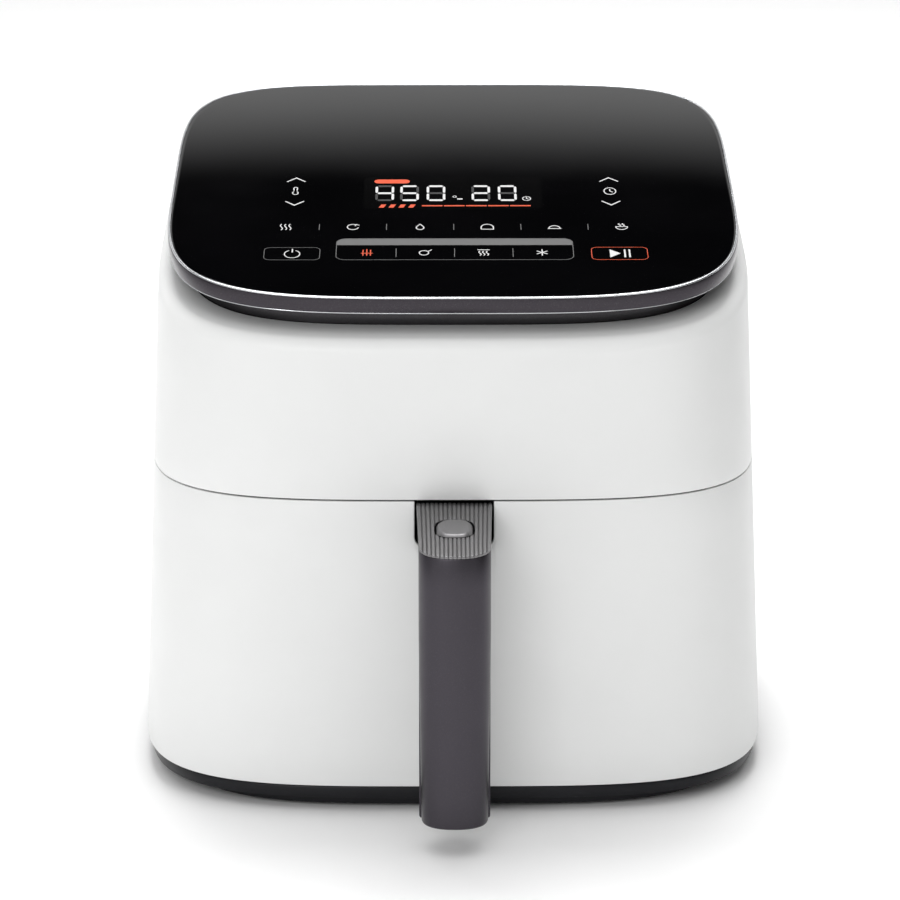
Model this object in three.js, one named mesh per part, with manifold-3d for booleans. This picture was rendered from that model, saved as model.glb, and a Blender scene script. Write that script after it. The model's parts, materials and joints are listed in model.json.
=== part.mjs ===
// Countertop air fryer with a pull-out drawer, as an assembly of separate pieces.
// Millimetres, +Z up, +X to the right, -Y towards the user. The origin is on the worktop, below the middle of
// the whole appliance with its handle. Inside the groups, y = 0 is the middle of the housing. The drawer is closed.
import * as THREE from "three";
import { mergeVertices } from "three/addons/utils/BufferGeometryUtils.js";
import Module from "manifold-3d";

const wasm = await Module();
wasm.setup();

// ---------------------------------------------------------------- driving dimensions
const GAP = 0.3; // air between two pieces that touch
const BODY = { halfWidth: 150, halfDepth: 152, frontPower: 3.9, backPower: 4.3 }; // outline at the foot of the white shell
const SHELL_BOTTOM = 13;
const TAPER = 0.00027; // share of its size that the body loses for each millimetre of height
const WALL = 2.6;
const SEAM_Z = 148.4; // gap between the drawer front and the upper shell
const SEAM_GAP = 0.8;
const DRAWER_SPLIT_Y = -70; // where the drawer front's side wings end

const LID = { halfWidth: 135.3, halfDepth: 138, frontPower: 4, backPower: 5, tilt: 11.3, z: 269.4 };
const RING_HEIGHT = 8.2;
const RING_LIP = 2;
const NECK_INSET = 7.6;
const NECK_SHOWN = 9.8; // height of the dark band between the ring and the white shoulder
const SHOULDER = { reach: 11, drop: 12 };
const SHOULDER_BELOW_LID = RING_HEIGHT + NECK_SHOWN;

const BASE = { rimInset: 2, rimBottom: 5.5, rimTop: 12.6, plinthHalfWidth: 135, plinthHalfDepth: 146.5, plinthBottom: 1.8 };
const FOOT = { radius: 9, x: 104, y: 108, height: 1.5 };

const FRAME = { front: -104, back: -90, top: 164, openHalfWidth: 120, openBottom: 19.5, openTop: 145.2 };
const CAVITY = { halfWidth: 124, front: -89.6, back: 126, bottom: 17.5, top: 192, wall: 1, corner: 25 };
const DUCT = { halfWidth: 40, bottom: 151, top: 187, back: 140, wall: 2, overlap: 3 };
const AIR_Y = 16; // the fan, the heater and the motor share a vertical axis here
const BASKET = { half: 111, centreY: 7, bottom: 24, top: 142, wall: 1.3, corner: 38, draft: 6, flange: 5 };
const PLATE = { bottom: 33, top: 35, half: 101.6, corner: 30, holeRadius: 6, pitch: 25 };
const BACKING = { front: -121, back: -117.5, bottom: 16, top: 147.4 };
const NOTCH = { halfWidth: 18, bottom: 124 };

const HANDLE = { halfWidth: 15.6, rootHalfWidth: 17.3, front: -214, back: -188, root: -147, split: -197 };
const HANDLE_Z = { bottom: 13.2, bridge: 124.6, topFront: 141.1, topBack: 147.6 };
const CAP_THICKNESS = 2.6;
const RIB = { count: 17, width: 1.0, height: 0.5 };
const BUTTON = { y: -181, halfWidth: 8.2, halfDepth: 9.2, power: 2.8, rise: 2.1, flange: 1.5 };
const LATCH = { halfWidth: 5, bottom: 134.4, top: 137, noseTop: 143.3, noseFront: -109.4, back: -105.8 };
const SCREW = { x: 11.5, z: 129.2, shank: 1.9, head: 4 };
const BUTTON_TRAVEL = 2.6;
const KEEPER = { front: -112, lip: 1.5, bottom: 143.7, top: 149, halfWidth: 9 };

const SHAFT = { radius: 3.2, bottom: 171, top: 247 };
const FAN = { radius: 70, bottom: 173, top: 185, blades: 10 };
const COOLER = { radius: 42, bottom: 233, top: 243, blades: 7 };
const MOTOR = { radius: 30, bottom: 197, top: 229 };
const HEATER = { z: 164, tube: 3.3, outer: 86, inner: 68 };
const GUARD = { z: 150, thickness: 2, radius: 102, post: 96 };

const CENTRE_SHIFT = -(HANDLE.front + BODY.halfDepth) / 2;
const OUTLINE_POINTS = 56;
const LID_POINTS = 52;
const TILT = THREE.MathUtils.degToRad(LID.tilt);
const LID_SLOPE = Math.tan(TILT);

// ---------------------------------------------------------------- solids
function solid(geometry) {
  const bare = new THREE.BufferGeometry();
  bare.setAttribute("position", geometry.getAttribute("position"));
  bare.setIndex(geometry.index);
  const merged = mergeVertices(bare, 1e-3);
  const mesh = new wasm.Mesh({
    numProp: 3,
    vertProperties: new Float32Array(merged.attributes.position.array),
    triVerts: new Uint32Array(merged.index.array),
  });
  return new wasm.Manifold(mesh);
}

function geometryOf(made) {
  const mesh = made.getMesh();
  const geometry = new THREE.BufferGeometry();
  geometry.setAttribute("position", new THREE.BufferAttribute(mesh.vertProperties, 3));
  geometry.setIndex(new THREE.BufferAttribute(mesh.triVerts, 1));
  geometry.computeVertexNormals();
  return geometry;
}

const join = (first, ...others) => others.reduce((sum, next) => sum.add(next), first);
const cut = (first, ...others) => others.reduce((rest, next) => rest.subtract(next), first);

function box(x0, x1, y0, y1, z0, z1) {
  const geometry = new THREE.BoxGeometry(x1 - x0, y1 - y0, z1 - z0);
  return solid(geometry.translate((x0 + x1) / 2, (y0 + y1) / 2, (z0 + z1) / 2));
}

function cylinder(radius, z0, z1, x = 0, y = 0, sides = 24, topRadius = radius) {
  const geometry = new THREE.CylinderGeometry(topRadius, radius, z1 - z0, sides).rotateX(Math.PI / 2);
  return solid(geometry.translate(x, y, (z0 + z1) / 2));
}

// A cylinder lying along Y.
function rod(radius, y0, y1, x, z, sides = 16) {
  const geometry = new THREE.CylinderGeometry(radius, radius, y1 - y0, sides);
  return solid(geometry.translate(x, (y0 + y1) / 2, z));
}

// A ring or disc turned about a vertical axis from [radius, z] points that close on themselves.
function turned(profile, sides = 24) {
  const points = [...profile, profile[0]].map(([r, z]) => new THREE.Vector2(r, z));
  return solid(new THREE.LatheGeometry(points, sides).rotateX(Math.PI / 2));
}

// A solid through closed rings of points, listed from the lowest ring to the highest.
function loft(rings) {
  const count = rings[0].length;
  const positions = rings.flat().flatMap((p) => [p.x, p.y, p.z]);
  const index = [];
  for (let r = 0; r + 1 < rings.length; r++) {
    for (let i = 0; i < count; i++) {
      const next = (i + 1) % count;
      const [a, b, c, d] = [r * count + i, r * count + next, (r + 1) * count + next, (r + 1) * count + i];
      index.push(a, b, c, a, c, d);
    }
  }
  const caps = [
    [rings[0], 0, -1],
    [rings.at(-1), (rings.length - 1) * count, 1],
  ];
  for (const [ring, start, way] of caps) {
    const centre = ring.reduce((sum, p) => sum.add(p), new THREE.Vector3()).divideScalar(count);
    const hub = positions.length / 3;
    positions.push(centre.x, centre.y, centre.z);
    for (let i = 0; i < count; i++) {
      const edge = [start + i, start + ((i + 1) % count)];
      index.push(hub, ...(way > 0 ? edge : edge.reverse()));
    }
  }
  const geometry = new THREE.BufferGeometry();
  geometry.setAttribute("position", new THREE.Float32BufferAttribute(positions, 3));
  geometry.setIndex(index);
  return solid(geometry);
}

// ---------------------------------------------------------------- outlines
// A superellipse whose front half (-Y) and back half may have different powers.
function superellipse(halfWidth, halfDepth, frontPower, backPower, count) {
  return Array.from({ length: count }, (_, i) => {
    const angle = (2 * Math.PI * i) / count;
    const [c, s] = [Math.cos(angle), Math.sin(angle)];
    const power = 2 / (s < 0 ? frontPower : backPower);
    return new THREE.Vector2(
      Math.sign(c) * halfWidth * Math.abs(c) ** power,
      Math.sign(s) * halfDepth * Math.abs(s) ** power,
    );
  });
}

function roundedRect(x0, x1, y0, y1, frontRadius, backRadius = frontRadius, steps = 6) {
  const corners = [
    [x1, y0, -1, 1, frontRadius, -Math.PI / 2],
    [x1, y1, -1, -1, backRadius, 0],
    [x0, y1, 1, -1, backRadius, Math.PI / 2],
    [x0, y0, 1, 1, frontRadius, Math.PI],
  ];
  return corners.flatMap(([x, y, inX, inY, radius, start]) =>
    Array.from({ length: steps + 1 }, (_, i) => {
      const angle = start + ((Math.PI / 2) * i) / steps;
      return new THREE.Vector2(
        x + inX * radius + radius * Math.cos(angle),
        y + inY * radius + radius * Math.sin(angle),
      );
    }),
  );
}

const atHeight = (points, z) => points.map((p) => new THREE.Vector3(p.x, p.y, z));
const prism = (points, z0, z1) => loft([atHeight(points, z0), atHeight(points, z1)]);

// The body's outline, drawn in by inset, where its tapering wall meets the plane z = centreZ + slope * y.
function bodyRing(inset, centreZ, slope = 0) {
  const { halfWidth, halfDepth, frontPower, backPower } = BODY;
  const foot = superellipse(halfWidth - inset, halfDepth - inset, frontPower, backPower, OUTLINE_POINTS);
  return foot.map((p) => {
    const y = (p.y * (1 - TAPER * (centreZ - SHELL_BOTTOM))) / (1 + p.y * TAPER * slope);
    const z = centreZ + slope * y;
    return new THREE.Vector3(p.x * (1 - TAPER * (z - SHELL_BOTTOM)), y, z);
  });
}

// The whole outer form with its sloping top and rolled shoulder, drawn in by inset.
function bodyForm(inset, bottomZ) {
  const topZ = LID.z - SHOULDER_BELOW_LID / Math.cos(TILT) - inset;
  const rings = [bodyRing(inset, bottomZ)];
  const steps = 4;
  for (let i = 0; i <= steps; i++) {
    const turn = ((Math.PI / 2) * i) / steps;
    const drawnIn = SHOULDER.reach * (1 - Math.cos(turn));
    const below = SHOULDER.drop * (1 - Math.sin(turn));
    rings.push(bodyRing(inset + drawnIn, topZ - below, LID_SLOPE));
  }
  return loft(rings);
}

// Lid outlines lie in the lid's own plane: z = 0 is the top of the ring, and the lid group tilts them.
const lidOutline = (inset) =>
  superellipse(LID.halfWidth - inset, LID.halfDepth - inset, LID.frontPower, LID.backPower, LID_POINTS);

function lidPrismInPart(inset, z0, z1) {
  const rings = [z0, z1].map((z) => atHeight(lidOutline(inset), z));
  const place = new THREE.Matrix4().makeRotationX(TILT).setPosition(0, 0, LID.z);
  return loft(rings.map((ring) => ring.map((p) => p.applyMatrix4(place))));
}

// ---------------------------------------------------------------- housing
const VENT = { halfWidth: 50, bottom: 146, top: 206 };
const INTAKE = { halfWidth: 62, bottom: 226, top: 252 };
const GLAND = { x: 72, z: 40, radius: 8.5, face: BODY.halfDepth };

const rearWindow = (window, clearance) =>
  box(
    -window.halfWidth - clearance,
    window.halfWidth + clearance,
    100,
    200,
    window.bottom - clearance,
    window.top + clearance,
  );

function outerShell() {
  return cut(
    bodyForm(0, SHELL_BOTTOM),
    bodyForm(WALL, SHELL_BOTTOM - 1),
    box(-200, 200, -200, DRAWER_SPLIT_Y, 0, SEAM_Z + SEAM_GAP / 2),
    lidPrismInPart(NECK_INSET - 0.4, -60, 20),
    rearWindow(VENT, 0),
    rearWindow(INTAKE, 0),
    rod(GLAND.radius + GAP, 130, 170, GLAND.x, GLAND.z),
  );
}

// A louvred panel that fills one of the rear windows, following the shell's curve.
function rearGrille(window, slots) {
  const panel = bodyForm(0.6, SHELL_BOTTOM).subtract(bodyForm(WALL + 1, SHELL_BOTTOM - 1));
  const filled = panel.intersect(rearWindow(window, -GAP));
  return cut(filled, ...slots);
}

function ventSlots() {
  const slots = [];
  for (let z = VENT.bottom + 7; z < VENT.top - 6; z += 7) {
    slots.push(box(-VENT.halfWidth + 7, -2, 100, 200, z, z + 3.6));
    slots.push(box(2, VENT.halfWidth - 7, 100, 200, z, z + 3.6));
  }
  return slots;
}

function intakeSlots() {
  const slots = [];
  for (let x = -INTAKE.halfWidth + 6; x < INTAKE.halfWidth - 7; x += 7) {
    slots.push(box(x, x + 3.4, 100, 200, INTAKE.bottom + 5, INTAKE.top - 5));
  }
  return slots;
}

function baseTray() {
  const { rimInset, rimBottom, rimTop, plinthHalfWidth, plinthHalfDepth, plinthBottom } = BASE;
  const rim = superellipse(
    BODY.halfWidth - rimInset,
    BODY.halfDepth - rimInset,
    BODY.frontPower,
    BODY.backPower,
    OUTLINE_POINTS,
  );
  const plinth = superellipse(plinthHalfWidth, plinthHalfDepth, 4, 4, OUTLINE_POINTS);
  const hollow = superellipse(plinthHalfWidth - 6, plinthHalfDepth - 8, 4, 4, OUTLINE_POINTS);
  return cut(
    join(prism(rim, rimBottom, rimTop), prism(plinth, plinthBottom, rimBottom + 1)),
    prism(hollow, plinthBottom + 3, rimTop + 1),
  );
}

function frontFrame() {
  const { front, back, top, openHalfWidth, openBottom, openTop } = FRAME;
  return cut(
    bodyForm(6, SHELL_BOTTOM - 3).intersect(box(-200, 200, front, back, SHELL_BOTTOM + 0.4, top)),
    box(-openHalfWidth, openHalfWidth, front - 1, back + 1, openBottom, openTop),
  );
}

function latchKeeper() {
  const { front, lip, bottom, top, halfWidth } = KEEPER;
  const back = FRAME.front - GAP;
  return join(
    box(-halfWidth, halfWidth, front, back, top - 1.5, top),
    box(-halfWidth, halfWidth, front, front + lip, bottom, top),
    box(-halfWidth, halfWidth, back - lip, back, top - 1.5, top + 9),
  );
}

function cavityLiner() {
  const { halfWidth, front, back, bottom, top, wall, corner } = CAVITY;
  const outer = roundedRect(-halfWidth, halfWidth, front, back, 4, corner);
  const inner = roundedRect(-halfWidth + wall, halfWidth - wall, front + wall, back - wall, 3, corner - wall);
  return cut(
    prism(outer, bottom, top),
    prism(inner, bottom + wall, top - wall),
    box(-FRAME.openHalfWidth, FRAME.openHalfWidth, front - 1, front + 5, FRAME.openBottom, FRAME.openTop),
    box(
      -DUCT.halfWidth + DUCT.overlap,
      DUCT.halfWidth - DUCT.overlap,
      back - 5,
      back + 1,
      DUCT.bottom + DUCT.overlap,
      DUCT.top - DUCT.overlap,
    ),
    cylinder(9, top - 5, top + 5, 0, AIR_Y),
  );
}

function exhaustDuct() {
  const { halfWidth, bottom, top, back, wall } = DUCT;
  const front = CAVITY.back + GAP;
  return cut(
    box(-halfWidth, halfWidth, front, back, bottom, top),
    box(-halfWidth + wall, halfWidth - wall, front - 1, back + 1, bottom + wall, top - wall),
  );
}

function rail(side) {
  const { halfWidth, wall, front } = CAVITY;
  const outerX = halfWidth - wall - GAP;
  const [railFront, railBack] = [front + 4, 96];
  const ledgeTop = BASKET.top - 1.8 - GAP;
  const edges = [BASKET.half + 1.8, outerX, outerX - 1.8].map((x) => x * side).sort((a, b) => a - b);
  const [wallFrom, wallTo] = side > 0 ? [edges[1], edges[2]] : [edges[0], edges[1]];
  return join(
    box(edges[0], edges[2], railFront, railBack, ledgeTop - 2, ledgeTop),
    box(wallFrom, wallTo, railFront, railBack, ledgeTop - 12, ledgeTop),
  );
}

function cordGland() {
  const { radius, x, z, face } = GLAND;
  return cut(
    join(rod(radius, face - 8, face - 1, x, z), rod(radius + 2.4, face - 1.6, face, x, z)),
    rod(radius / 2, face - 5, face + 1, x, z),
  );
}

function footPad(x, y) {
  return cylinder(FOOT.radius - 0.8, 0, FOOT.height, x, y, 20, FOOT.radius);
}

// ---------------------------------------------------------------- air and heat
function heatingElement() {
  const { z, tube, outer, inner } = HEATER;
  const ring = (radius) =>
    turned(
      Array.from({ length: 6 }, (_, i) => {
        const a = (2 * Math.PI * i) / 6;
        return [radius + tube * Math.cos(a), z + tube * Math.sin(a)];
      }),
    );
  const sides = [-12, 12];
  const links = sides.map((x) => rod(tube, inner, outer + 16, x, z, 8));
  const legs = sides.map((x) => cylinder(tube, z, CAVITY.top - CAVITY.wall - GAP, x, outer + 12.5, 8));
  return join(ring(outer), ring(inner), ...links, ...legs);
}

function heaterGuard() {
  const { z, thickness, radius, post } = GUARD;
  const hoop = (middle) =>
    turned([
      [middle - 1.6, z - thickness / 2],
      [middle + 1.6, z - thickness / 2],
      [middle + 1.6, z + thickness / 2],
      [middle - 1.6, z + thickness / 2],
    ]);
  const spokes = [0, 1].map((i) => {
    const bar = new THREE.BoxGeometry(2 * radius, 3, thickness).rotateZ((i + 0.5) * (Math.PI / 2));
    return solid(bar.translate(0, 0, z));
  });
  const posts = [0, 1, 2, 3].map((i) => {
    const angle = (i + 0.5) * (Math.PI / 2);
    const top = CAVITY.top - CAVITY.wall - GAP;
    return cylinder(2.4, z, top, post * Math.cos(angle), post * Math.sin(angle), 8);
  });
  return join(...[16, 44, 72, radius - 1.6].map(hoop), ...spokes, ...posts);
}

function heatReflector() {
  return turned([
    [9.5, 188.4],
    [92, 188.4],
    [92, 180],
    [93, 180],
    [93, 189.6],
    [9.5, 189.6],
  ]);
}

function fanWheel({ radius, bottom, top, blades }, lean, disc) {
  const hub = turned([
    [SHAFT.radius + GAP, bottom],
    [11, bottom],
    [13, top],
    [SHAFT.radius + GAP, top],
  ]);
  const vanes = Array.from({ length: blades }, (_, i) => {
    const vane = new THREE.BoxGeometry(radius - 10, 1.2, top - bottom - 1).rotateX(lean);
    vane.translate(radius / 2 + 5, 0, (top + bottom) / 2);
    return solid(vane.rotateZ((2 * Math.PI * i) / blades));
  });
  const parts = [hub, ...vanes];
  if (disc) {
    const hole = SHAFT.radius + GAP;
    parts.push(turned([[hole, top - 1], [radius, top - 1], [radius, top], [hole, top]]));
  }
  return join(...parts);
}

function fanMotor() {
  const { radius, bottom, top } = MOTOR;
  const bore = SHAFT.radius + 0.9;
  return turned([
    [bore, bottom],
    [radius - 4, bottom],
    [radius, bottom + 4],
    [radius, top - 4],
    [radius - 6, top - 1],
    [12, top],
    [bore, top],
  ]);
}

function motorBracket() {
  const plate = turned([
    [9.5, CAVITY.top + GAP],
    [46, CAVITY.top + GAP],
    [46, CAVITY.top + 2],
    [9.5, CAVITY.top + 2],
  ]);
  const legs = [0, 1, 2].map((i) => {
    const angle = (i * 2 * Math.PI) / 3 + 0.5;
    return cylinder(3.2, CAVITY.top + 1, 222, 37 * Math.cos(angle), 37 * Math.sin(angle), 12);
  });
  return join(plate, ...legs);
}

function temperatureProbe() {
  return join(rod(2.4, 101, 124.6, 60, 170, 12), rod(4.6, 121, 124.6, 60, 170, 12));
}

// ---------------------------------------------------------------- electronics above the cavity
const BOARD_Z = CAVITY.top + 6;

function powerBoard() {
  const standoffs = [-106, -52].flatMap((x) => [-42, 62].map((y) => [x, y]));
  return join(
    box(-112, -46, -48, 68, BOARD_Z, BOARD_Z + 1.6),
    ...standoffs.map(([x, y]) => cylinder(3, CAVITY.top + GAP, BOARD_Z + 1, x, y, 12)),
  );
}

const onBoard = (x, y, width, depth, height) =>
  box(x, x + width, y, y + depth, BOARD_Z + 1.6 + GAP, BOARD_Z + 1.6 + height);

// ---------------------------------------------------------------- lid, in its own plane
function trimRing() {
  const rings = [
    atHeight(lidOutline(0.9), -RING_HEIGHT),
    atHeight(lidOutline(0), -RING_HEIGHT + 1.2),
    atHeight(lidOutline(0), -1),
    atHeight(lidOutline(0.9), 0),
  ];
  return cut(
    loft(rings),
    prism(lidOutline(RING_LIP), -3.7, 1),
    prism(lidOutline(6), -RING_HEIGHT - 1, 1),
  );
}

function neckBand() {
  const top = -RING_HEIGHT - GAP;
  const bottom = -SHOULDER_BELOW_LID - 4;
  return cut(
    prism(lidOutline(NECK_INSET), bottom, top),
    prism(lidOutline(NECK_INSET + 4), bottom - 1, top + 1),
  );
}

const DISPLAY = { halfWidth: 42, front: -73, back: -40 };

function panelCarrier() {
  const { halfWidth, front, back } = DISPLAY;
  return cut(
    prism(lidOutline(6 + GAP), -7.4, -3.7 - GAP),
    box(-halfWidth, halfWidth, front, back, -10, 0),
  );
}

// ---------------------------------------------------------------- drawer
function drawerFront() {
  const skin = bodyForm(0, SHELL_BOTTOM).subtract(bodyForm(WALL, SHELL_BOTTOM - 1));
  const top = SEAM_Z - SEAM_GAP / 2;
  return cut(
    skin.intersect(box(-200, 200, -200, DRAWER_SPLIT_Y - 0.6, SHELL_BOTTOM + 0.3, top)),
    box(-NOTCH.halfWidth, NOTCH.halfWidth, -200, -100, NOTCH.bottom, top + 1),
  );
}

const LATCH_SLOT = LATCH.halfWidth + 1.5; // half-width of the way the hook passes through
const SLOT_FLOOR = LATCH.bottom - BUTTON_TRAVEL - 1;

const screwHoles = (y0, y1) =>
  [-1, 1].map((side) => rod(SCREW.shank + GAP, y0, y1, side * SCREW.x, SCREW.z, 10));

function drawerBacking() {
  const { front, back, bottom, top } = BACKING;
  return cut(
    bodyForm(WALL + 0.4, SHELL_BOTTOM - 3).intersect(box(-200, 200, front, back, bottom, top)),
    box(-LATCH_SLOT, LATCH_SLOT, front - 1, back + 1, SLOT_FLOOR, top - 2.6),
    ...screwHoles(front - 1, back + 1),
  );
}

function basketShell() {
  const { half, centreY, bottom, top, wall, corner, draft, flange } = BASKET;
  const ring = (grow, radius, z) =>
    atHeight(
      roundedRect(-half - grow, half + grow, centreY - half - grow, centreY + half + grow, radius),
      z,
    );
  const pot = (inset, low) =>
    loft([
      ring(-draft - 5 - inset, corner - 12 - inset, low),
      ring(-draft - inset, corner - 6 - inset, low + 6),
      ring(-inset, corner - inset, top + (inset ? 1 : 0)),
    ]);
  const rim = prism(
    roundedRect(-half - flange, half + flange, centreY - half + 0.2, centreY + half + flange, 8, corner + flange),
    top - 1.8,
    top,
  );
  return cut(join(pot(0, bottom), rim), pot(wall, bottom + wall));
}

const BRACKET = { halfWidth: 46, bottom: 96, top: 136, sheet: 2, flange: 3 };

function basketBracket() {
  const { halfWidth, bottom, top, sheet, flange } = BRACKET;
  const [front, back] = [BACKING.back + GAP, BASKET.centreY - BASKET.half - GAP];
  return cut(
    box(-halfWidth, halfWidth, front, back, bottom, top),
    box(-halfWidth + flange, halfWidth - flange, front + sheet, back - sheet, bottom - 1, top + 1),
    box(-LATCH_SLOT - 0.5, LATCH_SLOT + 0.5, front - 1, back + 1, SLOT_FLOOR - 1, top + 1),
    ...screwHoles(front - 1, front + sheet + 1),
  );
}

// Top edge of the handle at a given distance from the housing.
function handleTop(y) {
  const along = (HANDLE.root - y) / (HANDLE.root - HANDLE.front);
  return HANDLE_Z.topBack + (HANDLE_Z.topFront - HANDLE_Z.topBack) * along;
}

// A block from y0 to y1 whose top follows the handle's slope, lowered by drop.
function slopedBar(halfWidth, y0, y1, bottom, drop) {
  const side = new THREE.Shape([
    new THREE.Vector2(y0, bottom),
    new THREE.Vector2(y1, bottom),
    new THREE.Vector2(y1, handleTop(y1) - drop),
    new THREE.Vector2(y0, handleTop(y0) - drop),
  ]);
  const geometry = new THREE.ExtrudeGeometry(side, { depth: 2 * halfWidth, bevelEnabled: false });
  geometry.rotateY(Math.PI / 2).rotateX(Math.PI / 2).translate(-halfWidth, 0, 0);
  return solid(geometry);
}

// The grip in plan: a shallow bow in front, squarer behind. It narrows a little towards the foot.
function gripOutline(height, shrink = 1) {
  const rise = (height - HANDLE_Z.bottom) / (HANDLE_Z.topFront - HANDLE_Z.bottom);
  const halfWidth = HANDLE.halfWidth * (0.965 + 0.035 * Math.min(1, 2 * rise)) * shrink;
  const middle = -200;
  const front = (middle - HANDLE.front) * shrink;
  const back = (HANDLE.back - middle) * shrink;
  return superellipse(halfWidth, 1, 2.3, 3.2, 32).map(
    (p) => new THREE.Vector2(p.x, middle + p.y * (p.y < 0 ? front : back)),
  );
}

function gripBar() {
  const { bottom, topFront } = HANDLE_Z;
  return loft([
    atHeight(gripOutline(bottom, 0.86), bottom),
    atHeight(gripOutline(bottom, 0.97), bottom + 2),
    atHeight(gripOutline(bottom), bottom + 5),
    atHeight(gripOutline(topFront / 2), topFront / 2),
    atHeight(gripOutline(topFront), topFront + 9),
  ]);
}

const gripHollow = (y0, y1) => box(-11, 11, y0, y1, HANDLE_Z.bottom + 5, HANDLE_Z.bridge - 4);

function gripFront() {
  return gripBar()
    .intersect(slopedBar(20, -230, HANDLE.split - GAP / 2, 0, CAP_THICKNESS + GAP))
    .subtract(gripHollow(-208, HANDLE.split + 1));
}

function gripBack() {
  return gripBar()
    .intersect(box(-30, 30, HANDLE.split + GAP / 2, -170, 0, HANDLE_Z.bridge - GAP))
    .subtract(gripHollow(HANDLE.split - 1, HANDLE.back - 3.5));
}

// The platform's outline in plan: the grip's bowed front, widening towards the housing.
function platformPlan(inset, back) {
  const section = gripOutline(HANDLE_Z.topFront);
  const bow = [...section.slice(section.length / 2), section[0]];
  const root = HANDLE.rootHalfWidth - inset;
  return [...bow, new THREE.Vector2(root, back), new THREE.Vector2(-root, back)];
}

function handleBridge() {
  const { bridge } = HANDLE_Z;
  const form = prism(platformPlan(0.4, BACKING.front - GAP), bridge, 160);
  const pocket = prism(buttonOutline(BUTTON.flange + 0.8), bridge + 2, 160);
  return cut(
    form.intersect(slopedBar(30, HANDLE.split + GAP, -100, 0, CAP_THICKNESS + GAP)),
    box(-30, 30, HANDLE.root, -100, 145.6, 170),
    pocket,
    box(-LATCH_SLOT, LATCH_SLOT, BUTTON.y, -100, SLOT_FLOOR, 170),
    ...screwHoles(BACKING.front - 9, -100),
  );
}

function buttonOutline(grow) {
  const { y, halfWidth, halfDepth, power } = BUTTON;
  return superellipse(halfWidth + grow, halfDepth + grow, power, power, 24).map(
    (p) => new THREE.Vector2(p.x, p.y + y),
  );
}

// The ribbed plate on top of the handle, with fine grooves that run away from the user.
function topCap() {
  const slab = prism(platformPlan(0, HANDLE.root), 100, 180)
    .intersect(slopedBar(30, -230, -100, 90, 0))
    .subtract(slopedBar(40, -240, -90, 80, CAP_THICKNESS));
  const pitch = (2 * HANDLE.halfWidth) / RIB.count;
  const halfGroove = (pitch - RIB.width) / 2;
  const grooves = Array.from({ length: RIB.count - 1 }, (_, i) =>
    slopedBar(halfGroove, -240, -90, 100, -1)
      .subtract(slopedBar(5, -250, -80, 90, RIB.height))
      .translate([pitch * (i + 1) - HANDLE.halfWidth, 0, 0]),
  );
  return cut(slab, prism(buttonOutline(0.8), 100, 180), ...grooves);
}

function releaseButton() {
  const top = handleTop(BUTTON.y) + BUTTON.rise;
  const under = handleTop(BUTTON.y - BUTTON.halfDepth) - CAP_THICKNESS - 1;
  const crown = [
    atHeight(buttonOutline(0), under - 1.4),
    atHeight(buttonOutline(0), top - 0.9),
    atHeight(buttonOutline(-0.9), top),
  ];
  const flange = prism(buttonOutline(BUTTON.flange), under - 1.4, under);
  return join(loft(crown), flange);
}

function latchHook() {
  const { halfWidth, bottom, top, noseTop, noseFront, back } = LATCH;
  return join(
    box(-halfWidth, halfWidth, BUTTON.y - 6, back, bottom, top),
    box(-halfWidth, halfWidth, noseFront, back, bottom, noseTop),
  );
}

function buttonSpring() {
  const [low, high] = [HANDLE_Z.bridge + 2 + GAP, LATCH.bottom - GAP];
  const turns = 3;
  const points = Array.from({ length: turns * 10 + 1 }, (_, i) => {
    const angle = (2 * Math.PI * i) / 10;
    const z = low + 0.6 + ((high - low - 1.2) * i) / (turns * 10);
    return new THREE.Vector3(4 * Math.cos(angle), BUTTON.y + 4 * Math.sin(angle), z);
  });
  const wire = new THREE.Shape().absarc(0, 0, 0.5, 0, 2 * Math.PI);
  const path = new THREE.CatmullRomCurve3(points);
  return solid(
    new THREE.ExtrudeGeometry(wire, { steps: turns * 12, curveSegments: 3, bevelEnabled: false, extrudePath: path }),
  );
}

function crisperPlate() {
  const { bottom, top, half, corner, holeRadius, pitch } = PLATE;
  const { centreY } = BASKET;
  const sheet = prism(roundedRect(-half, half, centreY - half, centreY + half, corner), bottom, top);
  const holes = [];
  const reach = Math.floor((half - 12) / pitch);
  for (let i = -reach; i <= reach; i++) {
    for (let j = -reach; j <= reach; j++) {
      const atCorner = Math.abs(i) === reach && Math.abs(j) === reach;
      if (atCorner) continue;
      holes.push(cylinder(holeRadius, bottom - 1, top + 1, i * pitch, centreY + j * pitch, 8));
    }
  }
  const legs = [-62.5, 62.5].flatMap((x) => [-62.5, 62.5].map((y) => [x, y + centreY]));
  const floor = BASKET.bottom + BASKET.wall + GAP;
  return join(cut(sheet, ...holes), ...legs.map(([x, y]) => cylinder(3, floor, bottom + 0.5, x, y, 10)));
}

function plateBumper(angle) {
  const { half, bottom, top } = PLATE;
  const pad = new THREE.BoxGeometry(1.4, 26, top - bottom + 3);
  pad.translate(half + GAP + 0.7, 0, (top + bottom) / 2).rotateZ(angle).translate(0, BASKET.centreY, 0);
  return solid(pad);
}

// A screw along Y that clamps the bracket, the backing and the handle bridge together.
function bracketScrew(side) {
  const seat = BACKING.back + 2 * GAP + BRACKET.sheet;
  const x = side * SCREW.x;
  return join(
    rod(SCREW.head, seat, seat + 2, x, SCREW.z, 12),
    rod(SCREW.shank, BACKING.front - 8, seat + 1, x, SCREW.z, 10),
  );
}

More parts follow.
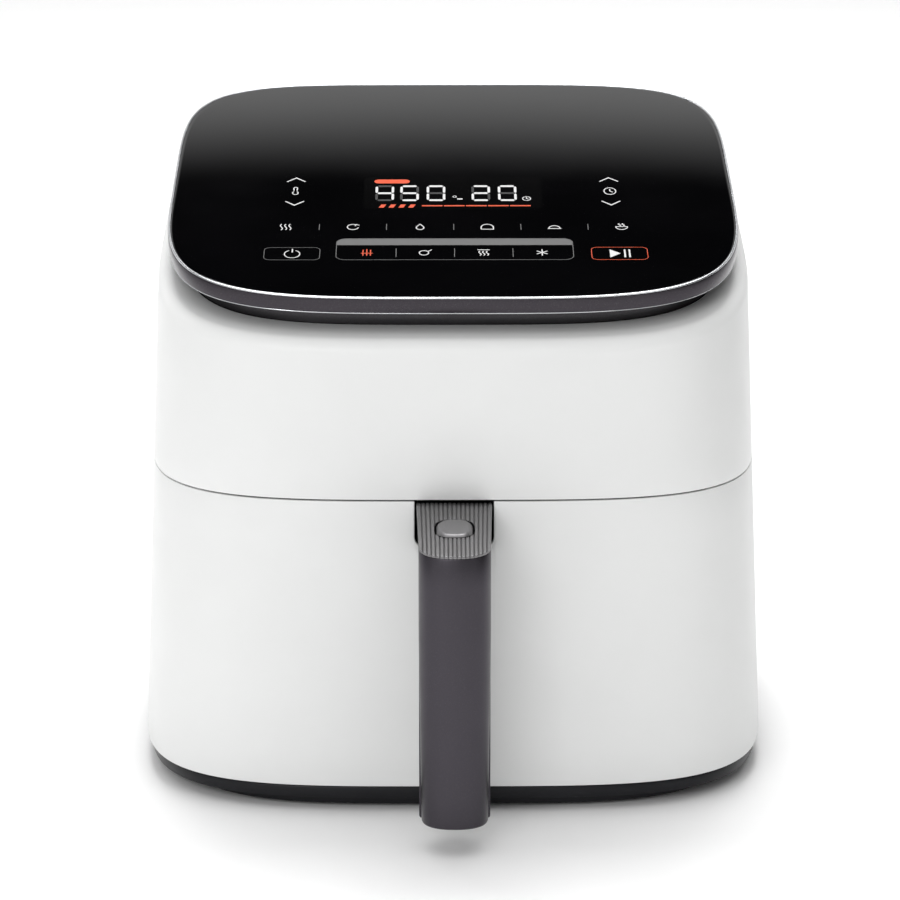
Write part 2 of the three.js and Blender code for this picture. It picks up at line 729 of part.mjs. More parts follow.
// ---------------------------------------------------------------- materials
const finish = (color, roughness, metalness = 0) =>
  new THREE.MeshStandardMaterial({ color, roughness, metalness });
const whitePlastic = finish(0xeceeed, 0.42);
const blackPlastic = finish(0x24242a, 0.5);
const gunmetal = finish(0x5a5a62, 0.32, 0.85);
const darkBand = finish(0x34343a, 0.36, 0.7);
const blackGlass = finish(0x050506, 0.06);
const handlePaint = finish(0x57555c, 0.35, 0.6);
const basketCoat = finish(0x3a3a3c, 0.5, 0.2);
const silicone = finish(0x2a2a2a, 0.8);
const steel = finish(0xb8b8ba, 0.35, 0.9);
const circuitBoard = finish(0x1f5c3a, 0.6);
const darkMetal = finish(0x45464a, 0.5, 0.7);
const ceramic = finish(0xe6e1d6, 0.7);
const electricBlack = finish(0x1c1c1e, 0.5);

// ---------------------------------------------------------------- assembly
const fryer = new THREE.Group();
const housing = new THREE.Group();
const air = new THREE.Group();
const lid = new THREE.Group();
const drawer = new THREE.Group();
for (const group of [housing, air, lid, drawer]) {
  group.position.y = CENTRE_SHIFT;
  fryer.add(group);
}
air.position.y += AIR_Y;
lid.rotation.x = TILT;
lid.position.z = LID.z;

function place(group, name, made, material) {
  const mesh = new THREE.Mesh(geometryOf(made), material);
  mesh.name = name;
  group.add(mesh);
}

place(housing, "outer_shell", outerShell(), whitePlastic);
place(housing, "rear_exhaust_grille", rearGrille(VENT, ventSlots()), blackPlastic);
place(housing, "rear_intake_grille", rearGrille(INTAKE, intakeSlots()), blackPlastic);
place(housing, "base_tray", baseTray(), blackPlastic);
place(housing, "front_frame", frontFrame(), blackPlastic);
place(housing, "latch_keeper", latchKeeper(), steel);
place(housing, "cavity_liner", cavityLiner(), steel);
place(housing, "exhaust_duct", exhaustDuct(), darkMetal);
place(housing, "left_rail", rail(-1), steel);
place(housing, "right_rail", rail(1), steel);
place(housing, "cord_gland", cordGland(), electricBlack);
const footCorners = { front_left: [-1, -1], front_right: [1, -1], rear_left: [-1, 1], rear_right: [1, 1] };
for (const [corner, [sideX, sideY]] of Object.entries(footCorners)) {
  place(housing, `foot_${corner}`, footPad(sideX * FOOT.x, sideY * FOOT.y), silicone);
}

place(air, "heating_element", heatingElement(), darkMetal);
place(air, "heater_guard", heaterGuard(), steel);
place(air, "heat_reflector", heatReflector(), steel);
place(air, "convection_fan", fanWheel(FAN, 0.25, true), steel);
place(air, "fan_shaft", cylinder(SHAFT.radius, SHAFT.bottom, SHAFT.top, 0, 0, 16), steel);
place(air, "fan_nut", cylinder(5.5, SHAFT.bottom - 4.3, SHAFT.bottom - GAP, 0, 0, 6), steel);
place(air, "cooling_fan", fanWheel(COOLER, 0.6, false), electricBlack);
place(air, "fan_motor", fanMotor(), darkMetal);
place(air, "motor_bracket", motorBracket(), steel);
place(housing, "temperature_probe", temperatureProbe(), steel);
place(housing, "thermal_cutout", cylinder(9, CAVITY.top + GAP, CAVITY.top + 7, 62, 40, 16), ceramic);
place(housing, "heater_terminal_block", box(-24, 24, 104, 122, CAVITY.top + GAP, CAVITY.top + 14), ceramic);
place(housing, "power_board", powerBoard(), circuitBoard);
place(housing, "mains_transformer", onBoard(-106, -38, 26, 24, 22), electricBlack);
place(housing, "heater_relay", onBoard(-72, -34, 20, 16, 16), electricBlack);
place(housing, "filter_capacitor", cylinder(8, BOARD_Z + 1.9, BOARD_Z + 24, -94, 20, 18), electricBlack);
place(housing, "drawer_sensor", box(60, 76, FRAME.front - 3, FRAME.front - GAP, 147, 154), electricBlack);

place(lid, "top_trim_ring", trimRing(), gunmetal);
place(lid, "lower_trim_band", neckBand(), darkBand);
place(lid, "glass_panel", prism(lidOutline(RING_LIP + GAP), -3.4, -GAP), blackGlass);
place(lid, "panel_carrier", panelCarrier(), electricBlack);
place(lid, "display_module", box(-40, 40, -71, -42, -9.4, -4), electricBlack);
place(lid, "control_board", box(-86, 86, -100, -18, -11.3, -9.7), circuitBoard);

place(drawer, "drawer_front", drawerFront(), whitePlastic);
place(drawer, "drawer_backing", drawerBacking(), blackPlastic);
place(drawer, "basket", basketShell(), basketCoat);
place(drawer, "basket_bracket", basketBracket(), steel);
place(drawer, "handle_bridge", handleBridge(), blackPlastic);
place(drawer, "handle_top_cap", topCap(), handlePaint);
place(drawer, "handle_grip_front", gripFront(), handlePaint);
place(drawer, "handle_grip_back", gripBack(), handlePaint);
place(drawer, "release_button", releaseButton(), handlePaint);
place(drawer, "latch_hook", latchHook(), steel);
place(drawer, "button_spring", buttonSpring(), steel);
place(drawer, "drawer_magnet", rod(4, BACKING.back + GAP, BACKING.back + 3.3, 68, 142, 14), steel);
place(drawer, "left_bracket_screw", bracketScrew(-1), steel);
place(drawer, "right_bracket_screw", bracketScrew(1), steel);
place(drawer, "crisper_plate", crisperPlate(), basketCoat);
const bumperSides = { right: 0, rear: Math.PI / 2, left: Math.PI, front: -Math.PI / 2 };
for (const [side, angle] of Object.entries(bumperSides)) {
  place(drawer, `plate_bumper_${side}`, plateBumper(angle), silicone);
}

export default fryer;
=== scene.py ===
"""Looks for a countertop air fryer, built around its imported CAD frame.

Shapes are worked out in millimetres, with y = 0 at the middle of the housing and the user at -Y, as in the
part's own source. new_mesh turns them into metres in the frame's coordinates.
"""

import json
import math

import bmesh
import bpy
import numpy as np
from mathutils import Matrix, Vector


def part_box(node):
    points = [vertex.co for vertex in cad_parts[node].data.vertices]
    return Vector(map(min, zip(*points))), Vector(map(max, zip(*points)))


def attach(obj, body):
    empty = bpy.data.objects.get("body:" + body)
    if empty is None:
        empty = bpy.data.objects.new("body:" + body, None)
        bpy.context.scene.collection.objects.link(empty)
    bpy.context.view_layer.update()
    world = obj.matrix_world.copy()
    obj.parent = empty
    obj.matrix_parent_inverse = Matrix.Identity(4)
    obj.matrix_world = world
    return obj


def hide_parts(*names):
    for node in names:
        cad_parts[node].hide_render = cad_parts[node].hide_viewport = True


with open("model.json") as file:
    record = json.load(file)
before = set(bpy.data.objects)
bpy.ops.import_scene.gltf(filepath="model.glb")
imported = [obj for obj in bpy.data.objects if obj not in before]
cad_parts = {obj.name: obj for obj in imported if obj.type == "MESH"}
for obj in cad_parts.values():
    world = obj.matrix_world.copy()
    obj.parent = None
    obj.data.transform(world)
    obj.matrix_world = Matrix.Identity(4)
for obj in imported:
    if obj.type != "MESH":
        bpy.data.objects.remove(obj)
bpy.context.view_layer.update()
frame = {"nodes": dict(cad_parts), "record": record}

MM = 0.001
QUARTER = math.pi / 2
FULL_TURN = 2 * math.pi
MERGE_DISTANCE = 2e-6


# ---- sizes, read from the frame
def rough_box(node):
    low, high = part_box(node)
    return low / MM, high / MM


MIDDLE_Y = (rough_box("outer_shell")[1].y + rough_box("drawer_front")[0].y) / 2


def box_mm(node):
    low, high = rough_box(node)
    shift = Vector((0, MIDDLE_Y, 0))
    return low - shift, high - shift


shell_low, shell_high = box_mm("outer_shell")
front_low, front_high = box_mm("drawer_front")
ring_high = box_mm("top_trim_ring")[1]
glass_high = box_mm("glass_panel")[1]
base_low, base_high = box_mm("base_tray")
cap_low, cap_high = box_mm("handle_top_cap")
grip_low, grip_high = box_mm("handle_grip_front")
rear_grip_low, rear_grip_high = box_mm("handle_grip_back")
button_low, button_high = box_mm("release_button")
vent_low, vent_high = box_mm("rear_exhaust_grille")
intake_low, intake_high = box_mm("rear_intake_grille")
gland_low, gland_high = box_mm("cord_gland")
basket_low, basket_high = box_mm("basket")
plate_low, plate_high = box_mm("crisper_plate")

# Housing: a superellipse in plan that narrows by TAPER of its size for each millimetre of height.
GAP = 0.3
WALL = 2.6
TAPER = 0.00027
BODY_POWERS = (3.9, 4.3)
HALF_WIDTH = shell_high.x
HALF_DEPTH = shell_high.y
FOOT_Z = shell_low.z
SEAM_Z = front_high.z
UPPER_SEAM = SEAM_Z + 0.8
FRONT_BOTTOM = front_low.z - 1
SPLIT_Y = front_high.y
SPACING = 4.0
NOTCH_HALF_WIDTH = 18.2
NOTCH_BOTTOM = 126.2

# Lid: a ring round the glass, on a narrower neck, all tilted towards the user.
TILT = math.radians(11.3)
LID_SLOPE = math.tan(TILT)
LID_POWERS = (4, 5)
LID_HALF_WIDTH = ring_high.x + 0.8
LID_FRONT_DEPTH = 140.4
LID_BACK_DEPTH = 139.2
RING_HEIGHT = 8.4
RING_LIP = 1.25
NECK_SIDE_INSET = 8.4
NECK_FRONT_INSET = 11
NECK_SHOWN = 9.6
NECK_FOOT = -(RING_HEIGHT + NECK_SHOWN)
GLASS_INSET = RING_LIP + 0.1
LID_Z = glass_high.z - (LID_BACK_DEPTH - GLASS_INSET) * math.sin(TILT) + GAP * math.cos(TILT)
SHOULDER_REACH = 5.5
SHOULDER_DROP = 6
SHOULDER_TOP = LID_Z - (RING_HEIGHT + NECK_SHOWN) / math.cos(TILT)


# ---- outlines
def outline_point(angle, half_width, half_depth, powers):
    """The point of a superellipse in the direction of angle; powers are (front, back)."""
    c, s = math.cos(angle), math.sin(angle)
    power = powers[0] if s < 0 else powers[1]
    reach = (abs(c / half_width) ** power + abs(s / half_depth) ** power) ** (-1 / power)
    return reach * c, reach * s


def angles_between(stops, spacing, point_at):
    """Angles from the first stop up to but not including the last, whose points lie about spacing apart.

    Every stop is one of the angles.
    """
    found = []
    for start, end in zip(stops, stops[1:]):
        fine = np.linspace(start, end, 600)
        points = np.array([point_at(a) for a in fine])
        steps = np.linalg.norm(np.diff(points, axis=0), axis=1)
        along = np.concatenate([[0], np.cumsum(steps)])
        count = max(1, round(along[-1] / spacing))
        found += list(np.interp(np.linspace(0, along[-1], count + 1)[:-1], along, fine))
    return found


def body_outline(angle, inset=0.0):
    return outline_point(angle, HALF_WIDTH - inset, HALF_DEPTH - inset, BODY_POWERS)


def narrowing(z):
    return 1 - TAPER * (z - FOOT_Z)


def body_point(angle, inset, centre_z, slope=0.0):
    """Where the tapering wall, drawn in by inset, meets the plane z = centre_z + slope * y."""
    x, y = body_outline(angle, inset)
    y = y * narrowing(centre_z) / (1 + y * TAPER * slope)
    z = centre_z + slope * y
    return Vector((x * narrowing(z), y, z))


def body_angle_at_x(x, z):
    """Direction of the point of the back wall at x, for the height z."""
    x = x / narrowing(z)
    power = BODY_POWERS[1]
    y = HALF_DEPTH * (1 - abs(x / HALF_WIDTH) ** power) ** (1 / power)
    return math.atan2(y, x) % FULL_TURN


def body_angle_at_y(y, side, z):
    """Direction of the point of the right (side 1) or left (side -1) wall at y, for the height z."""
    y = y / narrowing(z)
    power = BODY_POWERS[0] if y < 0 else BODY_POWERS[1]
    x = side * HALF_WIDTH * (1 - abs(y / HALF_DEPTH) ** power) ** (1 / power)
    return math.atan2(y, x) % FULL_TURN


def tilted(x, y, z):
    """A point of the lid's own plane (z = 0 is the top of the ring) in the part."""
    c, s = math.cos(TILT), math.sin(TILT)
    return Vector((x, y * c - z * s, y * s + z * c + LID_Z))


def lid_outline(angle, inset=0.0):
    depth = LID_FRONT_DEPTH if math.sin(angle) < 0 else LID_BACK_DEPTH
    return outline_point(angle, LID_HALF_WIDTH - inset, depth - inset, LID_POWERS)


def neck_outline(angle, inset=0.0):
    """The narrower outline under the lid, drawn further in at the front than at the sides and back."""
    in_front = math.sin(angle) < 0
    depth = LID_FRONT_DEPTH - NECK_FRONT_INSET if in_front else LID_BACK_DEPTH - NECK_SIDE_INSET
    return outline_point(angle, LID_HALF_WIDTH - NECK_SIDE_INSET - inset, depth - inset, LID_POWERS)


def rounded_rect(x0, x1, y0, y1, front_radius, back_radius=None, steps=8):
    back_radius = front_radius if back_radius is None else back_radius
    corners = (
        (x1 - front_radius, y0 + front_radius, front_radius, -90),
        (x1 - back_radius, y1 - back_radius, back_radius, 0),
        (x0 + back_radius, y1 - back_radius, back_radius, 90),
        (x0 + front_radius, y0 + front_radius, front_radius, 180),
    )
    return [point for x, y, radius, start in corners for point in arc(x, y, radius, start, start + 90, steps)]


def arc(centre_u, centre_v, radius, start, end, steps):
    """Points of a circular arc, with its two ends in degrees."""
    turns = [math.radians(start + (end - start) * i / steps) for i in range(steps + 1)]
    return [(centre_u + radius * math.cos(t), centre_v + radius * math.sin(t)) for t in turns]


def full_circle(radius, sides, centre=(0, 0)):
    turns = [FULL_TURN * i / sides for i in range(sides)]
    return [(centre[0] + radius * math.cos(t), centre[1] + radius * math.sin(t)) for t in turns]


# ---- surfaces
def flat_ring(points, z):
    return [Vector((x, y, z)) for x, y in points]


def skin(rings, wrap=False):
    """Vertices and faces through closed rings of equal length. wrap joins the ends, or else they get caps."""
    count, rows = len(rings[0]), len(rings)
    faces = []
    for r in range(rows if wrap else rows - 1):
        for i in range(count):
            j, up = (i + 1) % count, (r + 1) % rows
            faces.append((r * count + i, r * count + j, up * count + j, up * count + i))
    if not wrap:
        faces.append(tuple(reversed(range(count))))
        faces.append(tuple((rows - 1) * count + i for i in range(count)))
    return [p for ring in rings for p in ring], faces


def open_grid(rows, closed=False, keep=lambda row, column: True):
    """A grid of points as vertices and faces, less the faces that keep turns down."""
    count = len(rows[0])
    faces = []
    for r in range(len(rows) - 1):
        for i in range(count if closed else count - 1):
            j = (i + 1) % count
            if keep(r, i):
                faces.append((r * count + i, r * count + j, (r + 1) * count + j, (r + 1) * count + i))
    return [p for row in rows for p in row], faces


def slab(top_rows, bottom_rows):
    """A closed block between two grids of equal size, with walls round their edges."""
    rows, count = len(top_rows), len(top_rows[0])
    verts, faces = open_grid(top_rows)
    under = len(verts)
    verts = verts + [p for row in bottom_rows for p in row]
    faces += [tuple(under + i for i in reversed(face)) for face in faces]
    rim = list(range(count))
    rim += [r * count + count - 1 for r in range(1, rows)]
    rim += [(rows - 1) * count + c for c in range(count - 2, -1, -1)]
    rim += [r * count for r in range(rows - 2, 0, -1)]
    for here, after in zip(rim, rim[1:] + rim[:1]):
        faces.append((here, under + here, under + after, after))
    return verts, faces


def merged(surfaces):
    verts, faces = [], []
    for some_verts, some_faces in surfaces:
        start = len(verts)
        verts += list(some_verts)
        faces += [tuple(start + i for i in face) for face in some_faces]
    return verts, faces


def turned(profile, sides, centre=(0, 0)):
    """A solid turned about a vertical axis from a closed line of (radius, z) points."""
    return skin([flat_ring(full_circle(radius, sides, centre), z) for radius, z in profile], wrap=True)


# ---- objects
def add_object(name, data):
    made = bpy.data.objects.new(name, data)
    bpy.context.scene.collection.objects.link(made)
    return made


def new_mesh(name, surface):
    verts, faces = surface
    mesh = bpy.data.meshes.new(name)
    mesh.from_pydata([(p[0] * MM, (p[1] + MIDDLE_Y) * MM, p[2] * MM) for p in verts], [], faces)
    return mesh


def clean_up(mesh, merge=False, outward=True):
    """Turns the faces outward, and with merge first drops loose points and joins double ones."""
    work = bmesh.new()
    work.from_mesh(mesh)
    if merge:
        loose = [v for v in work.verts if not v.link_faces]
        bmesh.ops.delete(work, geom=loose, context="VERTS")
        bmesh.ops.remove_doubles(work, verts=work.verts, dist=MERGE_DISTANCE)
    if outward:
        bmesh.ops.recalc_face_normals(work, faces=work.faces)
    work.to_mesh(mesh)
    work.free()


def apply_modifiers(piece):
    graph = bpy.context.evaluated_depsgraph_get()
    done = bpy.data.meshes.new_from_object(piece.evaluated_get(graph))
    piece.modifiers.clear()
    piece.data = done


def thicken(piece, thickness):
    """Gives an open sheet its thickness, inward from the surface."""
    solid = piece.modifiers.new("thickness", "SOLIDIFY")
    solid.thickness = thickness * MM
    solid.offset = -1
    solid.use_even_offset = True
    apply_modifiers(piece)
    clean_up(piece.data)


def cut_and_soften(piece, cutters, bevel):
    for cutter in cutters:
        cut = piece.modifiers.new("cut", "BOOLEAN")
        cut.operation = "DIFFERENCE"
        cut.object = cutter
    if bevel:
        soft = piece.modifiers.new("soft_edges", "BEVEL")
        soft.width = bevel * MM
        soft.segments = 2
        soft.limit_method = "ANGLE"
        soft.angle_limit = math.radians(62)
    if piece.modifiers:
        apply_modifiers(piece)


def make_piece(name, surface, slot, body, replaces=(), finish=None, thickness=0.0, bevel=0.0, sharp=34,
               cutters=()):
    """Turns a surface into an object that rides on a body. A surface with a thickness is an open sheet."""
    mesh = new_mesh(name, surface)
    clean_up(mesh, merge=True, outward=not thickness)
    piece = add_object(name, mesh)
    if thickness:
        thicken(piece, thickness)
    cut_and_soften(piece, cutters, bevel)
    piece.data.shade_smooth()
    piece.data.set_sharp_from_angle(angle=math.radians(sharp))
    piece.data.materials.clear()
    piece.data.materials.append(finishes[finish or slot])
    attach(piece, body)
    if replaces:
        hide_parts(*replaces)


cutters_made = []


def make_cutter(surface):
    """A solid used only to cut others; it is removed by drop_cutters."""
    mesh = new_mesh("cutter", surface)
    clean_up(mesh)
    cutter = add_object("cutter", mesh)
    cutters_made.append(cutter)
    return cutter


def drop_cutters():
    for cutter in cutters_made:
        bpy.data.objects.remove(cutter)
    cutters_made.clear()


# ---- materials
class Nodes:
    """A node tree whose nodes are added by short calls."""

    def __init__(self, tree):
        self.tree = tree

    def node(self, kind, inputs=(), **settings):
        made = self.tree.nodes.new(kind)
        for key, value in settings.items():
            setattr(made, key, value)
        for socket, value in dict(inputs).items():
            made.inputs[socket].default_value = value
        return made

    def link(self, source, target):
        self.tree.links.new(source, target)

    def ranged(self, value, span, low, high, **settings):
        """Goes from low to high as value goes over span."""
        numbers = {"From Min": span[0], "From Max": span[1], "To Min": low, "To Max": high}
        made = self.node("ShaderNodeMapRange", numbers, **settings)
        self.link(value, made.inputs["Value"])
        return made.outputs["Result"]


class Recipe(Nodes):
    """A material, built up from its base values by patterns that vary them."""

    def __init__(self, name, colour, roughness, metallic=0.0, **sockets):
        self.material = bpy.data.materials.new(name)
        self.material.use_nodes = True
        super().__init__(self.material.node_tree)
        self.shader = self.tree.nodes["Principled BSDF"]
        sockets = {"Base_Color": (*colour, 1), "Roughness": roughness, "Metallic": metallic, **sockets}
        for socket, value in sockets.items():
            self.shader.inputs[socket.replace("_", " ")].default_value = value
        self.place = self.node("ShaderNodeTexCoord").outputs["Object"]
        self.relief = None

    def pattern(self, kind, stretch=None, inputs=(), **settings):
        """A texture node that lies in the object's own space; stretch scales that space along X, Y and Z."""
        made = self.node(kind, inputs, **settings)
        place = self.place
        if stretch:
            mapping = self.node("ShaderNodeMapping", {"Scale": stretch})
            self.link(self.place, mapping.inputs["Vector"])
            place = mapping.outputs["Vector"]
        self.link(place, made.inputs["Vector"])
        return made

    def noise(self, scale, detail=2.0, stretch=None):
        return self.pattern("ShaderNodeTexNoise", stretch, {"Scale": scale, "Detail": detail}).outputs["Fac"]

    def cells(self, scale):
        return self.pattern("ShaderNodeTexVoronoi", inputs={"Scale": scale})

    def ramp(self, factor, stops):
        made = self.node("ShaderNodeValToRGB")
        points = made.color_ramp.elements
        while len(points) < len(stops):
            points.new(0.5)
        for point, (position, colour) in zip(points, stops):
            point.position = position
            point.color = (*colour, 1)
        self.link(factor, made.inputs["Fac"])
        return made.outputs["Color"]

    def colour_from(self, colour):
        self.link(colour, self.shader.inputs["Base Color"])
        return self

    def mottle(self, factor, low, high, low_at=0.3, high_at=0.7):
        """Colours the surface from low to high as factor rises."""
        return self.colour_from(self.ramp(factor, [(low_at, low), (high_at, high)]))

    def gloss_from(self, factor, low, high):
        """Varies the roughness from low to high as factor goes from 0.3 to 0.7."""
        self.link(self.ranged(factor, (0.3, 0.7), low, high), self.shader.inputs["Roughness"])
        return self

    def bump(self, height, depth):
        """Adds relief of the given depth in millimetres on top of any earlier relief."""
        made = self.node("ShaderNodeBump", {"Distance": depth * MM, "Strength": 1.0})
        self.link(height, made.inputs["Height"])
        if self.relief is not None:
            self.link(self.relief, made.inputs["Normal"])
        self.relief = made.outputs["Normal"]
        self.link(self.relief, self.shader.inputs["Normal"])
        return self


def shade(colour, amount):
    return tuple(max(0.0, c * amount) for c in colour)


def moulded(name, colour, roughness, grain, depth, spread=0.06, rough_spread=0.05, metallic=0.0, **sockets):
    """Moulded or cast stuff: a fine grain in relief, soft cloudy changes of tone and of gloss."""
    recipe = Recipe(name, colour, roughness, metallic, **sockets)
    recipe.mottle(recipe.noise(22, 3), shade(colour, 1 - spread), shade(colour, 1 + spread))
    recipe.gloss_from(recipe.noise(55, 4), roughness - rough_spread, roughness + rough_spread)
    return recipe.bump(recipe.noise(grain, 3), depth)


def flaked(name, colour, glint, roughness):
    """Satin metallic paint with fine flakes."""
    recipe = Recipe(name, colour, roughness, 1.0)
    grey = recipe.node("ShaderNodeSeparateColor")
    recipe.link(recipe.cells(4200).outputs["Color"], grey.inputs["Color"])
    stops = [(0.0, shade(colour, 0.95)), (0.9, colour), (1.0, glint)]
    recipe.colour_from(recipe.ramp(grey.outputs["Red"], stops))
    recipe.gloss_from(recipe.noise(60, 4), roughness - 0.03, roughness + 0.03)
    return recipe.bump(recipe.noise(700, 2), 0.0015)


def brushed(name, colour, roughness, along):
    """Sheet or bar metal with fine drawn lines; along is the stretch that lays the lines."""
    recipe = Recipe(name, colour, roughness, 1.0)
    lines = recipe.noise(1, 6, along)
    recipe.mottle(lines, shade(colour, 0.82), shade(colour, 1.08), 0.25, 0.75)
    recipe.gloss_from(lines, roughness - 0.08, roughness + 0.1)
    return recipe.bump(lines, 0.01)


def white_housing():
    white = (0.75, 0.755, 0.75)
    return moulded("white_housing", white, 0.40, 1500, 0.006, 0.012, 0.04, Specular_IOR_Level=0.42)


def black_plastic():
    return moulded("black_plastic", (0.007, 0.007, 0.009), 0.36, 1300, 0.015, 0.15, Specular_IOR_Level=0.22)


def black_rubber():
    return moulded("black_rubber", (0.018, 0.018, 0.018), 0.78, 700, 0.03, 0.2, Specular_IOR_Level=0.3)


def gunmetal_trim():
    return flaked("gunmetal_trim", (0.052, 0.047, 0.054), (0.08, 0.075, 0.08), 0.26)


def dark_trim():
    return flaked("dark_trim", (0.046, 0.044, 0.047), (0.06, 0.06, 0.06), 0.24)


def handle_grey():
    return flaked("handle_grey", (0.062, 0.057, 0.066), (0.075, 0.07, 0.08), 0.33)


def handle_grey_painted_highlight():
    """The handle's paint made lighter, a painted highlight for the light that falls on the upward-facing
    ribbed top and the button.
    """
    return flaked("handle_grey_painted_highlight", (0.205, 0.2, 0.205), (0.24, 0.235, 0.24), 0.38)


def black_glass():
    recipe = Recipe("black_glass", (0.0015, 0.0015, 0.0018), 0.025)
    smears = recipe.noise(14, 4)
    recipe.gloss_from(smears, 0.018, 0.04)
    return recipe.mottle(smears, (0.001, 0.001, 0.0012), (0.002, 0.002, 0.0024), 0.2, 0.8)


def tinted_window():
    """The smoky window over the display, a shade lighter than the glass round it."""
    recipe = Recipe("tinted_window", (0.0026, 0.0026, 0.0028), 0.03)
    return recipe.mottle(recipe.noise(60, 3), (0.0023, 0.0023, 0.0025), (0.0029, 0.0029, 0.0031))


def polished_edge():
    recipe = Recipe("polished_edge", (0.66, 0.67, 0.69), 0.24, 1.0)
    recipe.gloss_from(recipe.noise(45, 3), 0.20, 0.28)
    return recipe.mottle(recipe.noise(30, 2), (0.62, 0.63, 0.65), (0.70, 0.71, 0.73))


def nonstick_coat():
    """Dark coating with pale specks."""
    recipe = moulded("nonstick_coat", (0.032, 0.032, 0.034), 0.42, 600, 0.02, 0.1)
    stops = [(0.0, (0.14, 0.14, 0.145)), (0.13, (0.034, 0.034, 0.036)), (1.0, (0.028, 0.028, 0.030))]
    return recipe.colour_from(recipe.ramp(recipe.cells(420).outputs["Distance"], stops))


def cavity_sheet():
    """Aluminised sheet, with spangles in relief."""
    recipe = brushed("cavity_sheet", (0.56, 0.56, 0.57), 0.36, (60, 60, 900))
    return recipe.bump(recipe.cells(160).outputs["Distance"], 0.015)


def bright_steel():
    return brushed("bright_steel", (0.60, 0.60, 0.61), 0.26, (900, 60, 900))


def heater_tube():
    """Steel with heat tints."""
    recipe = moulded("heater_tube", (0.10, 0.09, 0.085), 0.5, 900, 0.02, 0.3, metallic=0.7)
    tint = [(0.3, (0.09, 0.075, 0.07)), (0.5, (0.13, 0.105, 0.09)), (0.7, (0.07, 0.07, 0.085))]
    return recipe.colour_from(recipe.ramp(recipe.noise(40, 4), tint))


def motor_iron():
    """A stack of thin plates."""
    recipe = moulded("motor_iron", (0.20, 0.20, 0.21), 0.45, 800, 0.02, 0.15, metallic=0.8)
    plates = recipe.pattern("ShaderNodeTexWave", inputs={"Scale": 260}, bands_direction="Z")
    return recipe.bump(plates.outputs["Fac"], 0.1)


def white_ceramic():
    return moulded("white_ceramic", (0.74, 0.70, 0.62), 0.6, 500, 0.03, 0.08)


def circuit_board():
    """Green lacquer with lighter copper tracks in relief."""
    recipe = moulded("circuit_board", (0.02, 0.10, 0.045), 0.35, 1200, 0.01, 0.1)
    tones = {"Color1": (0.016, 0.085, 0.036, 1), "Color2": (0.022, 0.105, 0.046, 1)}
    mortar = {"Mortar": (0.06, 0.2, 0.1, 1), "Mortar Size": 0.035}
    tracks = recipe.pattern("ShaderNodeTexBrick", inputs={"Scale": 110, **tones, **mortar})
    recipe.colour_from(tracks.outputs["Color"])
    return recipe.bump(tracks.outputs["Fac"], 0.03)


def ink(name, colour, glow=0.0):
    """Print under the glass, or with glow a lit mark."""
    recipe = Recipe(name, colour, 0.35, Specular_IOR_Level=0.2, Emission_Strength=glow)
    tone = recipe.ramp(recipe.noise(300, 2), [(0.3, shade(colour, 0.94)), (0.7, colour)])
    if glow:
        recipe.link(tone, recipe.shader.inputs["Emission Color"])
    return recipe.colour_from(tone)


def white_print():
    return ink("white_print", (0.62, 0.62, 0.62))


def grey_print():
    return ink("grey_print", (0.095, 0.095, 0.095))


def orange_print():
    return ink("orange_print", (0.6, 0.055, 0.004), 0.12)


def lit_display():
    return ink("lit_display", (0.52, 0.52, 0.52), 0.25)


def unlit_display():
    return ink("unlit_display", (0.006, 0.006, 0.0065))


def studio_floor():
    return moulded("studio_floor", (0.93, 0.93, 0.93), 0.6, 120, 0.02, 0.004, Specular_IOR_Level=0.2)


finish_makers = (
    white_housing, black_plastic, black_rubber, gunmetal_trim, dark_trim, black_glass, handle_grey,
    nonstick_coat, cavity_sheet, bright_steel, heater_tube, motor_iron, white_ceramic, circuit_board,
    handle_grey_painted_highlight, polished_edge, tinted_window, white_print, grey_print, orange_print, lit_display,
    unlit_display, studio_floor,
)
finishes = {maker.__name__: maker().material for maker in finish_makers}


def dress_cad_nodes():
    """Gives every CAD node the finish of its slot, but gives the latch parts that show in the notch black
    plastic, as painted shade in the gap.
    """
    painted_shade_nodes = ("latch_hook", "latch_keeper", "button_spring")
    for subpart in frame["record"]["subparts"]:
        node = frame["nodes"][subpart["node"]]
        # the latch parts take black plastic instead of their own finish, as painted shade in the notch
        finish = "black_plastic" if subpart["node"] in painted_shade_nodes else subpart["material_slot"]
        node.data.materials.clear()
        node.data.materials.append(finishes[finish])


# ---- white shells
HEIGHT_SLACK = 0.01


def between(low, high, count):
    """Even heights from low up to but not including high."""
    return [low + (high - low) * i / count for i in range(count)]


def in_window(level, low, high):
    return low.z - GAP - HEIGHT_SLACK < level < high.z + GAP - HEIGHT_SLACK


def shell_stops():
    """Directions round the shell where a window or the split in front begins or ends."""
    mid_side = (FOOT_Z + UPPER_SEAM) / 2
    split_y = SPLIT_Y + 2 * GAP
    split_right = body_angle_at_y(split_y, 1, mid_side) - FULL_TURN
    windows = []
    for low, high in ((intake_low, intake_high), (vent_low, vent_high)):
        middle_z = (low.z + high.z) / 2
        windows += [body_angle_at_x(x, middle_z) for x in (high.x + GAP, -high.x - GAP)]
    return [split_right, *sorted(windows), body_angle_at_y(split_y, -1, mid_side), split_right + FULL_TURN]


def shell_levels():
    """Heights of the wall's rows, with rows along the seam and along the windows' edges."""
    levels = between(FOOT_Z, vent_low.z - GAP, 6)
    levels += [vent_low.z - GAP]
    levels += between(UPPER_SEAM, vent_high.z + GAP, 3)
    levels += between(vent_high.z + GAP, intake_low.z - GAP, 1)
    levels += between(intake_low.z - GAP, intake_high.z + GAP, 2)
    return levels + [intake_high.z + GAP]


